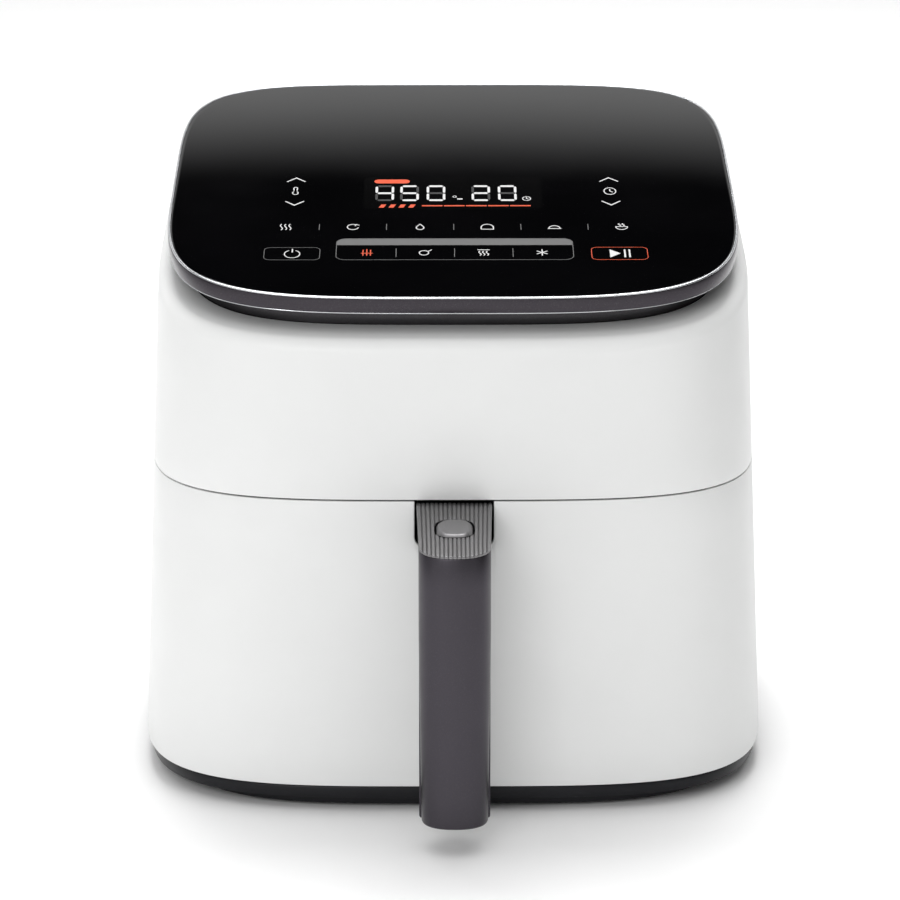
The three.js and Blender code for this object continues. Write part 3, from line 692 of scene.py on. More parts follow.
def outer_shell():
    stops = shell_stops()
    angles = angles_between(stops, SPACING, body_outline)
    levels = shell_levels()
    shoulder_centre = SHOULDER_TOP - SHOULDER_DROP
    top_level = body_point(QUARTER, 0, shoulder_centre, LID_SLOPE).z

    def wall_point(angle, level):
        """Heights above the seam are stretched so that the rows lean into the sloping shoulder."""
        shoulder_z = body_point(angle, 0, shoulder_centre, LID_SLOPE).z
        if level > UPPER_SEAM:
            level = UPPER_SEAM + (level - UPPER_SEAM) * (shoulder_z - UPPER_SEAM) / (top_level - UPPER_SEAM)
        return body_point(angle, 0, level)

    def keep(row, column):
        low = levels[row] if row < len(levels) else top_level
        middle = (angles[column] + (angles + [stops[-1]])[column + 1]) / 2
        in_drawer = low < UPPER_SEAM - HEIGHT_SLACK and middle > stops[5]
        in_vent = stops[2] < middle < stops[3] and in_window(low, vent_low, vent_high)
        in_intake = stops[1] < middle < stops[4] and in_window(low, intake_low, intake_high)
        return not (in_drawer or in_vent or in_intake)

    rows = [[wall_point(angle, level) for angle in angles] for level in levels] + shoulder_rows(angles)
    make_piece("white_outer_shell", open_grid(rows, True, keep), "white_housing", "housing", ["outer_shell"],
               thickness=WALL, bevel=0.4, cutters=[gland_cutter()])


def neck_opening(angle):
    return tilted(*neck_outline(angle, -0.4), NECK_FOOT)


def shoulder_rows(angles, steps=9):
    """The rolled shoulder, from the wall over to the opening around the neck band."""
    rows = []
    for i in range(steps + 1):
        turn = QUARTER * i / steps
        below = SHOULDER_DROP * (1 - math.sin(turn))
        row = []
        for angle in angles:
            wall = body_point(angle, 0, SHOULDER_TOP - below, LID_SLOPE)
            rim = neck_opening(angle)
            width = math.hypot(rim.x - wall.x, rim.y - wall.y)
            share = min(SHOULDER_REACH, width - 0.5) / width * (1 - math.cos(turn))
            x, y = wall.x + (rim.x - wall.x) * share, wall.y + (rim.y - wall.y) * share
            row.append(Vector((x, y, SHOULDER_TOP - below + LID_SLOPE * y)))
        rows.append(row)
    return rows + [[neck_opening(angle) for angle in angles]]


def cutter_along_y(outline, ends):
    """A cutter with an outline of (x, z) points, from the first to the second of two places along Y."""
    return make_cutter(skin([[Vector((x, y, z)) for x, z in outline] for y in ends]))


def gland_cutter():
    middle = ((gland_low.x + gland_high.x) / 2, (gland_low.z + gland_high.z) / 2)
    return cutter_along_y(full_circle(8.8, 32, middle), (gland_low.y - 10, gland_high.y + 10))


def drawer_front():
    mid = (FRONT_BOTTOM + SEAM_Z) / 2
    stops = [body_angle_at_y(SPLIT_Y, -1, mid), body_angle_at_y(SPLIT_Y, 1, mid)]
    angles = angles_between(stops, SPACING, body_outline) + [stops[-1]]
    levels = between(FRONT_BOTTOM, SEAM_Z, 8) + [SEAM_Z]
    rows = [[body_point(angle, 0, level) for angle in angles] for level in levels]
    make_piece("white_drawer_front", open_grid(rows), "white_housing", "drawer", ["drawer_front"],
               thickness=WALL, bevel=0.4, cutters=[notch_cutter()])


def notch_cutter():
    """The notch for the handle's root, open at the top and with rounded lower corners."""
    outline = rounded_rect(-NOTCH_HALF_WIDTH, NOTCH_HALF_WIDTH, NOTCH_BOTTOM, SEAM_Z + 20, 5)
    return cutter_along_y(outline, (-HALF_DEPTH - 20, -HALF_DEPTH + 20))


# ---- rear grilles, gland, base and feet
def grille(name, node, levels, columns, is_slot):
    """A curved panel in a rear window. is_slot(row, column) says which cells of the grid are open."""
    centre_z = (levels[0] + levels[-1]) / 2
    angles = [body_angle_at_x(x, centre_z) for x in columns]
    rows = [[body_point(a, 2 * GAP, z) for a in angles] for z in levels]
    surface = open_grid(rows, keep=lambda r, c: not is_slot(r, c))
    make_piece(name, surface, "black_plastic", "housing", [node], thickness=WALL, bevel=0.35)


def fine_columns(columns):
    """Splits long stretches so that a panel follows the curve of the housing."""
    fine = []
    for start, end in zip(columns, columns[1:]):
        pieces = max(1, round(abs(start - end) / 6))
        fine += [start + (end - start) * i / pieces for i in range(pieces)]
    return fine + [columns[-1]]


def exhaust_grille():
    """Level slots in two columns, beside a middle bar."""
    margin, slot, pitch, bar = 7, 3.6, 7, 2
    edge = vent_high.x - margin + GAP
    columns = fine_columns([vent_high.x, edge, bar, -bar, -edge, -vent_high.x])
    levels = [vent_low.z]
    z = vent_low.z - GAP + margin
    while z < vent_high.z + GAP - 6:
        levels += [z, z + slot]
        z += pitch
    levels.append(vent_high.z)

    def is_slot(row, column):
        middle = abs(columns[column] + columns[column + 1]) / 2
        return row % 2 == 1 and bar < middle < edge

    grille("louvred_exhaust_grille", "rear_exhaust_grille", levels, columns, is_slot)


def intake_grille():
    """A single row of upright slots."""
    side_margin, end_margin, slot, pitch = 6, 5, 3.4, 7
    columns = [intake_high.x]
    x = intake_high.x + GAP - side_margin
    while x > -intake_high.x + side_margin:
        columns += [x, x - slot]
        x -= pitch
    columns.append(-intake_high.x)
    levels = [intake_low.z, intake_low.z - GAP + end_margin, intake_high.z + GAP - end_margin, intake_high.z]
    grille("slotted_intake_grille", "rear_intake_grille", levels, columns, lambda r, c: r == 1 and c % 2 == 1)


def cord_gland():
    """A bush with a flange outside, turned about an axis along Y."""
    x, z = (gland_low.x + gland_high.x) / 2, (gland_low.z + gland_high.z) / 2
    front, back, bore = gland_low.y, gland_high.y, 4.2
    outer = (gland_high.x - gland_low.x) / 2
    profile = [
        (bore, back - 4.6), (7.9, front), (8.5, front + 0.5), (8.5, back - 2.4), (outer - 0.5, back - 1.6),
        (outer, back - 1.1), (outer, back - 0.7), (outer - 0.6, back - 0.1), (outer - 1.6, back),
        (6.4, back), (5.2, back - 0.5), (bore, back - 1.6),
    ]
    verts, faces = turned(profile, 48)
    verts = [Vector((x + p.x, p.z, z + p.y)) for p in verts]
    make_piece("round_cord_gland", (verts, faces), "black_rubber", "housing", ["cord_gland"])


def base_tray():
    """A rim that follows the housing, above a plinth with its own outline."""
    rim_inset, plinth_half_width, plinth_half_depth = 2, 135, 146.5
    rim_bottom, rim_top, low = 5.5, base_high.z - 1.2, base_low.z
    angles = angles_between([0, FULL_TURN], SPACING, body_outline)

    def rim(inset, z):
        size = (HALF_WIDTH - rim_inset - inset, HALF_DEPTH - rim_inset - inset)
        return flat_ring([outline_point(a, *size, BODY_POWERS) for a in angles], z)

    def plinth(inset, z):
        size = (plinth_half_width - inset, plinth_half_depth - inset)
        return flat_ring([outline_point(a, *size, (4, 4)) for a in angles], z)

    rings = [
        plinth(3, low), plinth(1.2, low), plinth(0.35, low + 0.3), plinth(0, low + 1),
        plinth(0, rim_bottom - 0.4), plinth(-0.4, rim_bottom),
        rim(1.2, rim_bottom), rim(0.4, rim_bottom + 0.3), rim(0, rim_bottom + 1.1),
        rim(0, rim_top - 0.8), rim(0.3, rim_top - 0.2), rim(0.9, rim_top), rim(3.5, rim_top),
        plinth(6, rim_top - 2), plinth(6, low + 3.5), plinth(7, low + 3),
    ]
    make_piece("base_with_plinth", skin(rings), "black_plastic", "housing", ["base_tray"])


def feet():
    for corner in ("front_left", "front_right", "rear_left", "rear_right"):
        low, high = box_mm(f"foot_{corner}")
        radius = (high.x - low.x) / 2
        centre = ((low.x + high.x) / 2, (low.y + high.y) / 2)
        profile = [
            (0.5, 0.5), (radius * 0.45, 0.5), (radius * 0.5, 0.02), (radius - 1.2, 0.0), (radius - 0.8, 0.15),
            (radius - 0.1, high.z - 0.3), (radius - 0.3, high.z), (0.5, high.z),
        ]
        make_piece(f"rubber_foot_{corner}", turned(profile, 40, centre), "black_rubber", "housing",
                   [f"foot_{corner}"])


# ---- lid
def lid_rings(profile, outline=lid_outline):
    """Rings round the lid from the (inset, z) points of a section."""
    angles = angles_between([0, FULL_TURN], 3.0, lid_outline)
    return [[tilted(*outline(a, inset), z) for a in angles] for inset, z in profile]


def trim_ring():
    """The gunmetal band round the glass, with its polished edges as two thin hoops let into it."""
    low = -RING_HEIGHT
    band = [
        (6, low), (1.6, low), (0.45, low + 0.5), (0.45, low + 0.75), (0.1, low + 0.85), (0, low + 1.1),
        (0, -0.95), (0.1, -0.75), (0.35, -0.7), (0.45, -0.8), (RING_LIP, -0.8), (RING_LIP, -3.7), (6, -3.7),
    ]
    make_piece("trim_ring", skin(lid_rings(band), True), "gunmetal_trim", "housing", ["top_trim_ring"],
               sharp=40)
    upper = [
        (0.45, -0.76), (0.2, -0.65), (0.15, -0.45), (0.25, -0.2), (0.45, -0.06), (0.65, -0.01),
        (RING_LIP - 0.25, 0), (RING_LIP - 0.08, -0.05), (RING_LIP, -0.2), (RING_LIP, -0.76),
    ]
    lower = [
        (1.55, low + 0.02), (0.95, low + 0.05), (0.5, low + 0.16), (0.2, low + 0.4), (0.14, low + 0.65),
        (0.2, low + 0.78), (0.42, low + 0.74), (0.42, low + 0.52),
    ]
    for name, profile in (("polished_upper_edge", upper), ("polished_lower_edge", lower)):
        make_piece(name, skin(lid_rings(profile), True), "bright_steel", "housing", finish="polished_edge",
                   sharp=40)


def neck_band():
    top, bottom = -RING_HEIGHT - GAP, NECK_FOOT - 4
    profile = [(4, bottom), (0, bottom), (0, top - 0.8), (0.3, top), (4, top)]
    make_piece("neck_band", skin(lid_rings(profile, neck_outline), True), "dark_trim", "housing",
               ["lower_trim_band"], sharp=40)


def glass_panel():
    section = [(0.4, -3.4), (0, -3.0), (0, -0.75), (0.1, -0.5), (0.3, -0.34), (0.6, -GAP), (1.5, -GAP)]
    rings = lid_rings([(GLASS_INSET + inset, z) for inset, z in section])
    make_piece("black_glass_top", skin(rings), "black_glass", "housing", ["glass_panel"])


# ---- marks on the glass
INK_TOP = -GAP + 0.06
INK_BOTTOM = -GAP + 0.03
WINDOW_TOP = -GAP + 0.02
WINDOW_BOTTOM = -GAP + 0.005


def lid_prism(points, bottom=INK_BOTTOM, top=INK_TOP):
    """A thin filled shape on the glass."""
    return skin([[tilted(x, y, z) for x, y in points] for z in (bottom, top)])


def stroke(points, width, closed=False, squash=1.0):
    """A thin line of even width through points on the glass; squash scales its width across Y."""
    count = len(points)
    sections = []
    for i, point in enumerate(points):
        before = points[i - 1] if closed or i else points[i]
        after = points[(i + 1) % count] if closed or i + 1 < count else points[i]
        here = Vector(point)
        into, out = (here - Vector(before)), (Vector(after) - here)
        into = into.normalized() if into.length else out.normalized()
        out = out.normalized() if out.length else into
        tangent = (into + out).normalized() if (into + out).length > 1e-6 else into
        normal = Vector((-tangent.y, tangent.x))
        spread = width / 2 / max(0.5, normal.dot(Vector((-into.y, into.x))))
        side = Vector((normal.x * spread, normal.y * spread * squash))
        corners = ((side, INK_BOTTOM), (-side, INK_BOTTOM), (-side, INK_TOP), (side, INK_TOP))
        sections.append([tilted(*(here + shift), z) for shift, z in corners])
    return skin(sections, wrap=closed)


def placed(points, centre, half_width, half_height):
    return [(centre[0] + x * half_width, centre[1] + y * half_height) for x, y in points]


def circle(radius=1.0, start=0, end=360, steps=24, centre=(0, 0)):
    return arc(*centre, radius, start, end, steps)


def wave(x, low=-1.0, high=1.0, swing=0.18, steps=10):
    turns = [FULL_TURN * i / steps for i in range(steps + 1)]
    return [(x + swing * math.sin(t), low + (high - low) * i / steps) for i, t in enumerate(turns)]


def make_marks(name, shapes, finish):
    make_piece(name, merged(shapes), "black_glass", "housing", finish=finish)


DIGIT_HALF = (4.5, 10.1)
SEGMENTS = {"2": "abged", "0": "abcdef", "4": "fgbc", "5": "afgcd"}


def pointed_bar(start, end, tip, half_thickness):
    """A bar along u from start to end, with ends that narrow to a point over the length of tip."""
    low, high = start + tip, end - tip
    return [(start, 0), (low, -half_thickness), (high, -half_thickness),
            (end, 0), (high, half_thickness), (low, half_thickness)]


def segment_shape(letter, centre):
    """One bar of a seven-bar digit."""
    half_w, half_h = DIGIT_HALF
    thick_x, thick_y, gap = 0.6, 1.05, 0.35
    across = {"a": half_h - thick_y, "g": 0.0, "d": -half_h + thick_y}
    if letter in across:
        reach = half_w - thick_x - gap
        bar = pointed_bar(-reach, reach, thick_x, thick_y)
        return [(centre[0] + u, centre[1] + across[letter] + v) for u, v in bar]
    side = half_w - thick_x if letter in "bc" else -half_w + thick_x
    low, high = (gap, half_h - thick_y - gap) if letter in "bf" else (-half_h + thick_y + gap, -gap)
    bar = pointed_bar(low, high, thick_y, thick_x)
    return [(centre[0] + side - v, centre[1] + u) for u, v in bar]


def display():
    window = lid_prism(rounded_rect(-43, 43, -32.3, 8.2, 3), WINDOW_BOTTOM, WINDOW_TOP)
    make_piece("display_window", window, "black_glass", "housing", finish="tinted_window")
    digits_y = -12.5
    lit, unlit = [], []
    for number, x in (("4", -32.9), ("5", -20.9), ("0", -8.1), ("2", 13.6), ("0", 26.4)):
        for letter in "abcdefg":
            target = lit if letter in SEGMENTS[number] else unlit
            target.append(lid_prism(segment_shape(letter, (x, digits_y))))
    lit.append(stroke(placed(circle(), (0.9, -17.0), 0.8, 1.0), 0.45, True))
    lit.append(lid_prism(placed(rounded_rect(-1, 1, -1, 1, 0.2, steps=2), (3.4, -20.0), 1.3, 0.7)))
    lit.append(stroke(placed(circle(), (35.6, -19.6), 1.9, 2.5), 0.5, True))
    lit.append(stroke([(35.6, -18.0), (35.6, -19.6), (36.6, -20.4)], 0.5))
    make_marks("display_lit_bars", lit, "lit_display")
    make_marks("display_unlit_bars", unlit, "unlit_display")
    make_marks("display_level_bars", level_bars(), "orange_print")


def lid_bar(left, width, low, high, slant=0.0):
    """An upright bar on the glass, whose upper end is moved sideways by slant."""
    right = left + width
    return lid_prism([(left, low), (right, low), (right + slant, high), (left + slant, high)])


def level_bars():
    """The orange pill, the row of bars and the slanted fan blades of the display."""
    pill = lid_prism(rounded_rect(-38.1, -20.9, 0.3, 5.3, 2.2, steps=4))
    bars = [lid_bar(-14.9 + 10.6 * k, 9.9, -29.3, -28.0) for k in range(5)]
    blades = [lid_bar(-35.6 + 4.7 * k, 2.4, -31.0, -27.0, 1.2) for k in range(4)]
    return [pill, *bars, *blades]


def chevron(centre, up):
    x, y = centre
    rise = 2.5 if up else -2.5
    return stroke([(x - 4.5, y - rise), (x, y + rise), (x + 4.5, y - rise)], 0.55, squash=1.6)


# Lines of small generic pictograms inside the square from -1 to 1.
ICONS = {
    "waves": [wave(-0.7), wave(0.0), wave(0.7)],
    "turn": [circle(0.9, 60, 350), [(0.35, 0.35), (0.55, 0.85), (1.05, 0.6)]],
    "drop": [[(0, 1), (-0.55, 0.1), *circle(0.62, 170, 370, 12, (0, -0.3)), (0.55, 0.1), (0, 1)]],
    "loaf": [[(-1, -0.8), (-1, 0.1), *circle(1, 165, 15, 10, (0, -0.1)), (1, 0.1), (1, -0.8), (-1, -0.8)]],
    "dome": [circle(0.9, 0, 180, 14, (0, -0.5)), [(-1.1, -0.6), (1.1, -0.6)]],
    "bowl": [circle(0.95, 180, 360, 14), [(-1, 0.05), (1, 0.05)], wave(-0.3, 0.35, 1.1),
             wave(0.3, 0.35, 1.1)],
    "sticks": [[(-0.6, -1), (-0.6, 0.9)], [(0, -1), (0, 1.1)], [(0.6, -1), (0.6, 0.9)],
               [(-0.95, -0.2), (0.95, -0.2)]],
    "roast": [circle(0.75, 0, 360, 18, (-0.2, -0.1)), [(0.4, 0.3), (1.05, 0.95)]],
    "grill": [[(-1, 0.9), (1, 0.9)], wave(-0.6, -1, 0.5), wave(0, -1, 0.5), wave(0.6, -1, 0.5)],
    "flake": [[(0, -1), (0, 1)], [(-0.87, -0.5), (0.87, 0.5)], [(-0.87, 0.5), (0.87, -0.5)]],
    "gauge": [[(-0.25, 0.2), *circle(0.3, 180, 0, 6, (0, 0.85)), (0.25, 0.2)],
              circle(0.45, 120, 420, 14, (0, -0.45))],
    "clock": [circle(0.95, 0, 360, 22), [(0, 0.6), (0, 0), (0.45, -0.3)]],
}


def icon(kind, centre, half_width=2.9, half_height=3.6):
    lines = [placed(points, centre, half_width, half_height) for points in ICONS[kind]]
    return [stroke(points, 0.52, squash=1.25) for points in lines]


def panel_marks():
    """The touch controls: pairs of arrows, a row of programs, and a boxed row between two buttons."""
    white, grey, orange = [], [], []
    for side, kind in ((-1, "gauge"), (1, "clock")):
        centre_x = 76.2 * side
        white.append(chevron((centre_x, 5.0), True))
        white.append(chevron((centre_x, -25.3), False))
        white += icon(kind, (centre_x, -10.0), 3.0, 4.6)
    row_y, pitch = -55.3, 31.85
    for k, kind in enumerate(("waves", "turn", "drop", "loaf", "dome", "bowl")):
        x = -79.4 + pitch * k
        white += icon(kind, (x, row_y))
        if k:
            grey.append(stroke([(x - 15.9, row_y - 3.6), (x - 15.9, row_y + 3.6)], 0.35))
    row_y, pitch = -86.6, 27.3
    for k, kind in enumerate(("sticks", "roast", "grill", "flake")):
        x = -40.5 + pitch * k
        (white if k else orange).extend(icon(kind, (x, row_y)))
        if k:
            grey.append(stroke([(x - 13.6, -91.8), (x - 13.6, -81.6)], 0.35))
    box_low, button_high_y, box_left, box_right = -95.2, -80.4, -54.8, 56.0
    grey.append(stroke(rounded_rect(-88.4, -62.4, box_low, button_high_y, 3.0), 0.28, True))
    grey.append(stroke(rounded_rect(box_left, box_right, box_low, -69.8, 4.5), 0.32, True))
    grey.append(lid_prism(rounded_rect(box_left, box_right, -77.6, -69.5, 0.4, 4.5)))
    orange.append(stroke(rounded_rect(64.5, 90.6, box_low, button_high_y, 3.0), 0.3, True))
    white.append(stroke(placed(circle(1, 115, 425, 22), (-75.3, -88.2), 3.6, 4.6), 0.5))
    white.append(stroke([(-75.3, -86.2), (-75.3, -82.2)], 0.6))
    white.append(lid_prism([(73.0, -92.6), (78.0, -87.8), (73.0, -83.0)]))
    for x in (79.6, 81.8):
        white.append(lid_bar(x, 0.8, -92.4, -83.2))
    make_marks("panel_white_marks", white, "white_print")
    make_marks("panel_grey_marks", grey, "grey_print")
    make_marks("panel_orange_marks", orange, "orange_print")


# ---- handle
CAP_FRONT, CAP_ROOT = cap_low.y, cap_high.y
CAP_THICKNESS = 1.1
BOW_Y = -200
BOW_POWERS = (2.3, 3.2)
GRIP_HALF = grip_high.x + 0.6
ROOT_HALF = cap_high.x
TOP_BACK = cap_high.z
TOP_FRONT = TOP_BACK - 6.5
TOP_LEAN = (TOP_BACK - TOP_FRONT) / (CAP_ROOT - CAP_FRONT)
RIBS = 17
RIB_HEIGHT = 0.55
SCALLOP = 0.3
CAP_HOLE_LOW, CAP_HOLE_HIGH = 120, 170
BUTTON_POWERS = (2.8, 2.8)
BUTTON_Y = (button_low.y + button_high.y) / 2 + 1.4


def handle_top(y):
    along = (CAP_ROOT - y) / (CAP_ROOT - CAP_FRONT)
    return TOP_BACK + (TOP_FRONT - TOP_BACK) * along


def groove_depth(share):
    """How far the ribbed surface lies below the rib tops at a share of the width, from -1 to 1."""
    phase = ((share + 1) / 2 * RIBS) % 1
    fall = min(1.0, max(0.0, (abs(phase - 0.5) - 0.27) / 0.23))
    return RIB_HEIGHT * fall * fall * (3 - 2 * fall)


def cap_point(share, along):
    """A point of the cap; along runs from 0 at the root to 1 at the bow and 2 at the scalloped front edge."""
    if along <= 1:
        y = CAP_ROOT + (BOW_Y - CAP_ROOT) * along
        x = share * (GRIP_HALF + (ROOT_HALF - GRIP_HALF) * (y - BOW_Y) / (CAP_ROOT - BOW_Y))
    else:
        x = share * GRIP_HALF
        reach = max(0.0, 1 - abs(share) ** BOW_POWERS[0]) ** (1 / BOW_POWERS[0])
        edge = (CAP_FRONT - BOW_Y) * reach + SCALLOP * groove_depth(share) / RIB_HEIGHT
        y = BOW_Y + edge * (along - 1)
    return Vector((x, y, handle_top(y) - groove_depth(share)))


def top_cap():
    columns, rows_back, rows_front = RIBS * 12, 10, 14
    stations = [r / rows_back for r in range(rows_back)] + [1 + r / rows_front for r in range(rows_front + 1)]
    rows = [[cap_point(-1 + 2 * c / columns, along) for c in range(columns + 1)] for along in stations]
    underside = [[Vector((p.x, p.y, handle_top(p.y) - CAP_THICKNESS)) for p in row] for row in rows]
    hole = button_outline([FULL_TURN * i / 64 for i in range(64)], 0.8)
    cutter = make_cutter(skin([flat_ring(hole, z) for z in (CAP_HOLE_LOW, CAP_HOLE_HIGH)]))
    # the cap takes the lighter copy of the handle paint, a painted highlight for the light on its top
    make_piece("ribbed_handle_cap", slab(rows, underside), "handle_grey", "drawer", ["handle_top_cap"],
               "handle_grey_painted_highlight", bevel=0.25, cutters=[cutter], sharp=50)


def button_outline(angles, grow):
    half = (button_high.x - button_low.x) / 2 - 1.3 + grow
    depth = (button_high.y - button_low.y) / 2 + 0.1 + grow
    points = [outline_point(a, half, depth, BUTTON_POWERS) for a in angles]
    return [(x, y + BUTTON_Y) for x, y in points]


def release_button():
    """A flange under the cap, and a crowned key whose top leans with the cap."""
    low, top = button_low.z, button_high.z
    flange_top = low + 1.4
    angles = [FULL_TURN * i / 72 for i in range(72)]

    def ring(grow, z, lean=TOP_LEAN):
        return [Vector((x, y, z + lean * (y - BUTTON_Y))) for x, y in button_outline(angles, grow)]

    straight = [(1.2, low), (1.5, low + 0.3), (1.5, flange_top - 0.2), (1.2, flange_top), (0.2, flange_top),
                (0, flange_top + 0.2), (0, top - 3.0)]
    crown = [(-0.12, 2.4), (-0.55, 1.9), (-1.1, 1.45), (-1.5, 1.25), (-1.9, 1.14), (-2.6, 1.1)]
    rings = [ring(grow, z, 0.0) for grow, z in straight] + [ring(grow, top - below) for grow, below in crown]
    # the key takes the lighter copy of the handle paint, a painted highlight for the light on its top
    make_piece("thumb_button", skin(rings), "handle_grey", "release", ["release_button"], "handle_grey_painted_highlight")


def grip_section(height, shrink, front, steps=48):
    """The outline of the front or the back half of the grip at one height."""
    rise = (height - grip_low.z) / (TOP_FRONT - grip_low.z)
    taper = 0.93 + 0.07 * min(1, 1.6 * rise) if front else 1.0
    half = GRIP_HALF * taper * shrink
    split = grip_high.y if front else rear_grip_low.y
    end_depth = ((BOW_Y - CAP_FRONT - 0.3) if front else (rear_grip_high.y - BOW_Y)) * shrink
    power = BOW_POWERS[0] if front else BOW_POWERS[1]
    end = BOW_Y + (-end_depth if front else end_depth)
    side = []
    for i in range(steps + 1):
        y = end + (split - end) * (1 - math.cos(QUARTER * i / steps))
        out = min(1.0, abs(y - BOW_Y) / end_depth) if (y < BOW_Y) == front else 0.0
        side.append((half * (1 - out ** power) ** (1 / power), y))
    soft = 0.35
    corner = side[-1]
    side[-1] = (corner[0] - 0.02, corner[1] - math.copysign(soft, split - end))
    side.append((corner[0] - soft, corner[1]))
    return side + [(-x, y) for x, y in reversed(side[1:])]


def grip_top(y, front):
    return handle_top(y) - CAP_THICKNESS - 0.15 if front else rear_grip_high.z


def grip_half(name, node, front):
    sole = [(0.0, 0.945), (0.08, 0.965), (0.3, 0.982), (0.7, 0.994), (1.3, 1.0)]
    heights = [(grip_low.z + z, shrink) for z, shrink in sole]
    heights += [(z, 1.0) for z in (25, 40, 60, 80, 100, 125)]
    rings = [flat_ring(grip_section(z, shrink, front), z) for z, shrink in heights]
    plan = grip_section(TOP_FRONT, 1.0, front)
    for shy, below in ((1.0, 0.5), (0.988, 0.15), (0.97, 0.0)):
        scaled = [(x * shy, BOW_Y + (y - BOW_Y) * shy) for x, y in plan]
        rings.append([Vector((x, y, grip_top(y, front) - below)) for x, y in scaled])
    make_piece(name, skin(rings), "handle_grey", "drawer", [node], sharp=40)


def grip_halves():
    grip_half("grip_front_shell", "handle_grip_front", True)
    grip_half("grip_back_shell", "handle_grip_back", False)


# ---- basket and plate
BASKET_CENTRE_Y = 7


def square_ring(half, radius, z, steps=8):
    """A level square with round corners, centred in the basket."""
    front, back = BASKET_CENTRE_Y - half, BASKET_CENTRE_Y + half
    return flat_ring(rounded_rect(-half, half, front, back, radius, steps=steps), z)


def basket():
    """A drawn pot with a flange: outside from the floor up, over the rim, and inside down to the floor."""
    half, corner, wall, draft, flange, rim, steps = 111, 38, 1.3, 6, 5, 1.8, 10
    low, top = basket_low.z, basket_high.z
    middle = (low + top) / 2

    def pot(inset, drop_in, radius, z):
        return square_ring(half - drop_in - inset, radius, z, steps)

    def rim_ring(shrink, z):
        reach = half + flange - shrink
        front, back = BASKET_CENTRE_Y - half + 0.2 + shrink, BASKET_CENTRE_Y + reach
        return flat_ring(rounded_rect(-reach, reach, front, back, 8, corner + flange - shrink, steps), z)

    floor_out = [(5, 12, 0), (2.2, 9, 0.9), (0.6, 7, 2.8), (0, 6, 6)]
    floor_in = [(0, 6, 6), (0.6, 7, 3.6), (2.2, 9, 2.0), (5, 12, wall)]
    rings = [pot(0, draft + more, corner - less, low + rise) for more, less, rise in floor_out]
    rings += [pot(0, draft * 0.5, corner - 3, middle), pot(0, 0.4, corner, top - rim - 1)]
    rings += [rim_ring(0.5, top - rim), rim_ring(0.05, top - rim + 0.4), rim_ring(0.05, top - 0.4)]
    rings += [rim_ring(0.5, top), pot(wall - 0.9, 0, corner - 0.5, top)]
    rings += [pot(wall, 0.2, corner - wall, top - 0.9)]
    rings += [pot(wall, draft * 0.5, corner - 3 - wall, middle)]
    rings += [pot(wall, draft + more, corner - less - wall, low + rise) for more, less, rise in floor_in]
    make_piece("coated_basket", skin(rings), "nonstick_coat", "drawer", ["basket"])


def crisper_plate():
    """A plate with a square pattern of holes, less the four in the corners, on four short legs."""
    half, corner, hole, pitch, sheet, leg_at = 101.6, 30, 6, 25, 2, 62.5
    top, floor = plate_high.z, plate_low.z
    sections = ((-0.5, top - sheet), (0, top - sheet + 0.5), (0, top - 0.5), (-0.5, top))
    rings = [square_ring(half + grow, corner, z) for grow, z in sections]
    reach = int((half - 12) // pitch)
    holes = []
    for i in range(-reach, reach + 1):
        for j in range(-reach, reach + 1):
            if abs(i) == reach and abs(j) == reach:
                continue
            edge = full_circle(hole, 28, (i * pitch, BASKET_CENTRE_Y + j * pitch))
            holes.append(skin([flat_ring(edge, z) for z in (top - sheet - 1, top + 1)]))
    make_piece("crisper_plate_top", skin(rings), "nonstick_coat", "crisper", ["crisper_plate"], bevel=0.35,
               cutters=[make_cutter(merged(holes))])
    profile = [(0.4, floor), (2.2, floor), (2.9, floor + 0.8), (3.0, top - sheet), (0.4, top - sheet)]
    spots = [(x, y + BASKET_CENTRE_Y) for x in (-leg_at, leg_at) for y in (-leg_at, leg_at)]
    legs = [turned(profile, 20, spot) for spot in spots]
    make_piece("crisper_plate_legs", merged(legs), "nonstick_coat", "crisper")


# ---- studio
CAMERA_DISTANCE = 1.9
CAMERA_RISE = math.radians(14)
CAMERA_SWING = math.radians(-0.28)
CAMERA_TARGET = Vector((0, MIDDLE_Y * MM, 0.15))
CAMERA_LENS = 153.64
CAMERA_SHIFT = (-0.0029, -0.0333)
FLOOR_HALF = 7.0
FLOOR_CELLS = 28
FLOOR_DROP = 0.3
SKY = {"top": 1.46, "left": 0.38, "front": 0.52, "back": 0.78}
SKY_EDGE = (math.sin(math.radians(31.5)), math.sin(math.radians(33.05)))
SKY_TOP = (0.72, 0.92)


def add_camera():
    data = bpy.data.cameras.new("camera")
    data.sensor_width = 36
    data.lens = CAMERA_LENS
    data.shift_x, data.shift_y = CAMERA_SHIFT
    data.clip_end = 60
    camera = add_object("camera", data)
    level = math.cos(CAMERA_RISE)
    back = Vector((level * math.sin(CAMERA_SWING), -level * math.cos(CAMERA_SWING), math.sin(CAMERA_RISE)))
    camera.location = CAMERA_TARGET + CAMERA_DISTANCE * back
    camera.rotation_euler = (-back).to_track_quat("-Z", "Y").to_euler()
    bpy.context.scene.camera = camera


def add_floor():
    places = [FLOOR_HALF * (2 * i / FLOOR_CELLS - 1) for i in range(FLOOR_CELLS + 1)]
    verts, faces = open_grid([[(x, y, -FLOOR_DROP * MM) for x in places] for y in places])
    mesh = bpy.data.meshes.new("floor")
    mesh.from_pydata(verts, [], faces)
    mesh.materials.append(finishes["studio_floor"])
    add_object("floor", mesh)


def add_area_light(name, place, aim, size, power):
    data = bpy.data.lights.new(name, "AREA")
    data.shape = "RECTANGLE"
    data.size, data.size_y = size
    data.energy = power
    light = add_object(name, data)
    light.location = place
    light.rotation_euler = (Vector(aim) - Vector(place)).to_track_quat("-Z", "Y").to_euler()
    return light


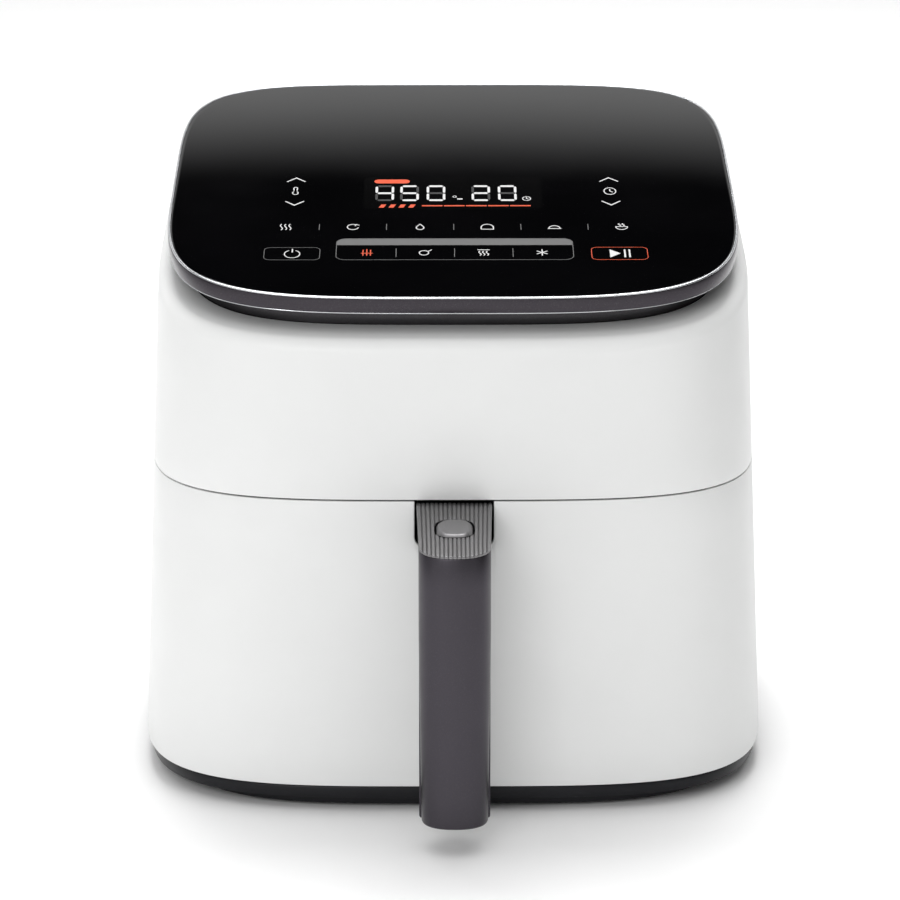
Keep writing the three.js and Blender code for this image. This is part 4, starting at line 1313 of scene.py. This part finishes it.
def add_lights():
    """Two softboxes, and a lamp that only evens out the floor behind."""
    add_area_light("back_light", (0, 0.95, 2.1), (0, 0, 0), (1.2, 1.2), 40)
    add_area_light("front_light", (-0.7, -2.4, 1.3), (0, 0, 0.15), (1.4, 0.9), 20)
    far_light = add_area_light("far_floor_light", (0, 1.9, 1.4), (0, 1.9, 0), (2.4, 0.5), 6)
    far_light.visible_glossy = False


def add_world():
    """Soft light from above, in front, the left and the back.

    The light from the back ends upwards at SKY_EDGE, which the glass top mirrors; that from above starts at
    SKY_TOP. Directions are parts of a unit vector.
    """
    world = bpy.data.worlds.new("studio")
    bpy.context.scene.world = world
    world.use_nodes = True
    nodes = Nodes(world.node_tree)
    background = nodes.tree.nodes["Background"]
    parts = nodes.node("ShaderNodeSeparateXYZ")
    nodes.link(nodes.node("ShaderNodeTexCoord").outputs["Generated"], parts.inputs["Vector"])

    def faded(value, span, low, high):
        return nodes.ranged(value, span, low, high, interpolation_type="SMOOTHSTEP")

    def maths(kind, first, second):
        made = nodes.node("ShaderNodeMath", operation=kind)
        nodes.link(first, made.inputs[0])
        nodes.link(second, made.inputs[1])
        return made.outputs["Value"]

    x, y, up = (parts.outputs[axis] for axis in "XYZ")
    left = faded(x, (-0.85, -0.15), SKY["left"], 0.0)
    front = faded(y, (-0.75, -0.05), SKY["front"], 0.0)
    back = maths("MULTIPLY", faded(y, (0.05, 0.6), 0.0, SKY["back"]), faded(up, SKY_EDGE, 1.0, 0.0))
    around = maths("ADD", left, maths("ADD", front, back))
    below_top = maths("MULTIPLY", around, faded(up, SKY_TOP, 1.0, 0.0))
    from_top = faded(up, SKY_TOP, 0.0, SKY["top"])
    nodes.link(maths("ADD", from_top, below_top), background.inputs["Strength"])
    background.inputs["Color"].default_value = (1.0, 1.0, 1.0, 1)


# ---- assembly
bpy.context.scene.view_settings.view_transform = "Standard"
bpy.context.scene.view_settings.look = "None"
add_camera()
add_world()
add_lights()
add_floor()
dress_cad_nodes()
for build in (
    outer_shell, drawer_front, exhaust_grille, intake_grille, cord_gland, base_tray, feet, trim_ring,
    neck_band, glass_panel, display, panel_marks, top_cap, release_button, grip_halves, basket, crisper_plate,
):
    build()
drop_cutters()
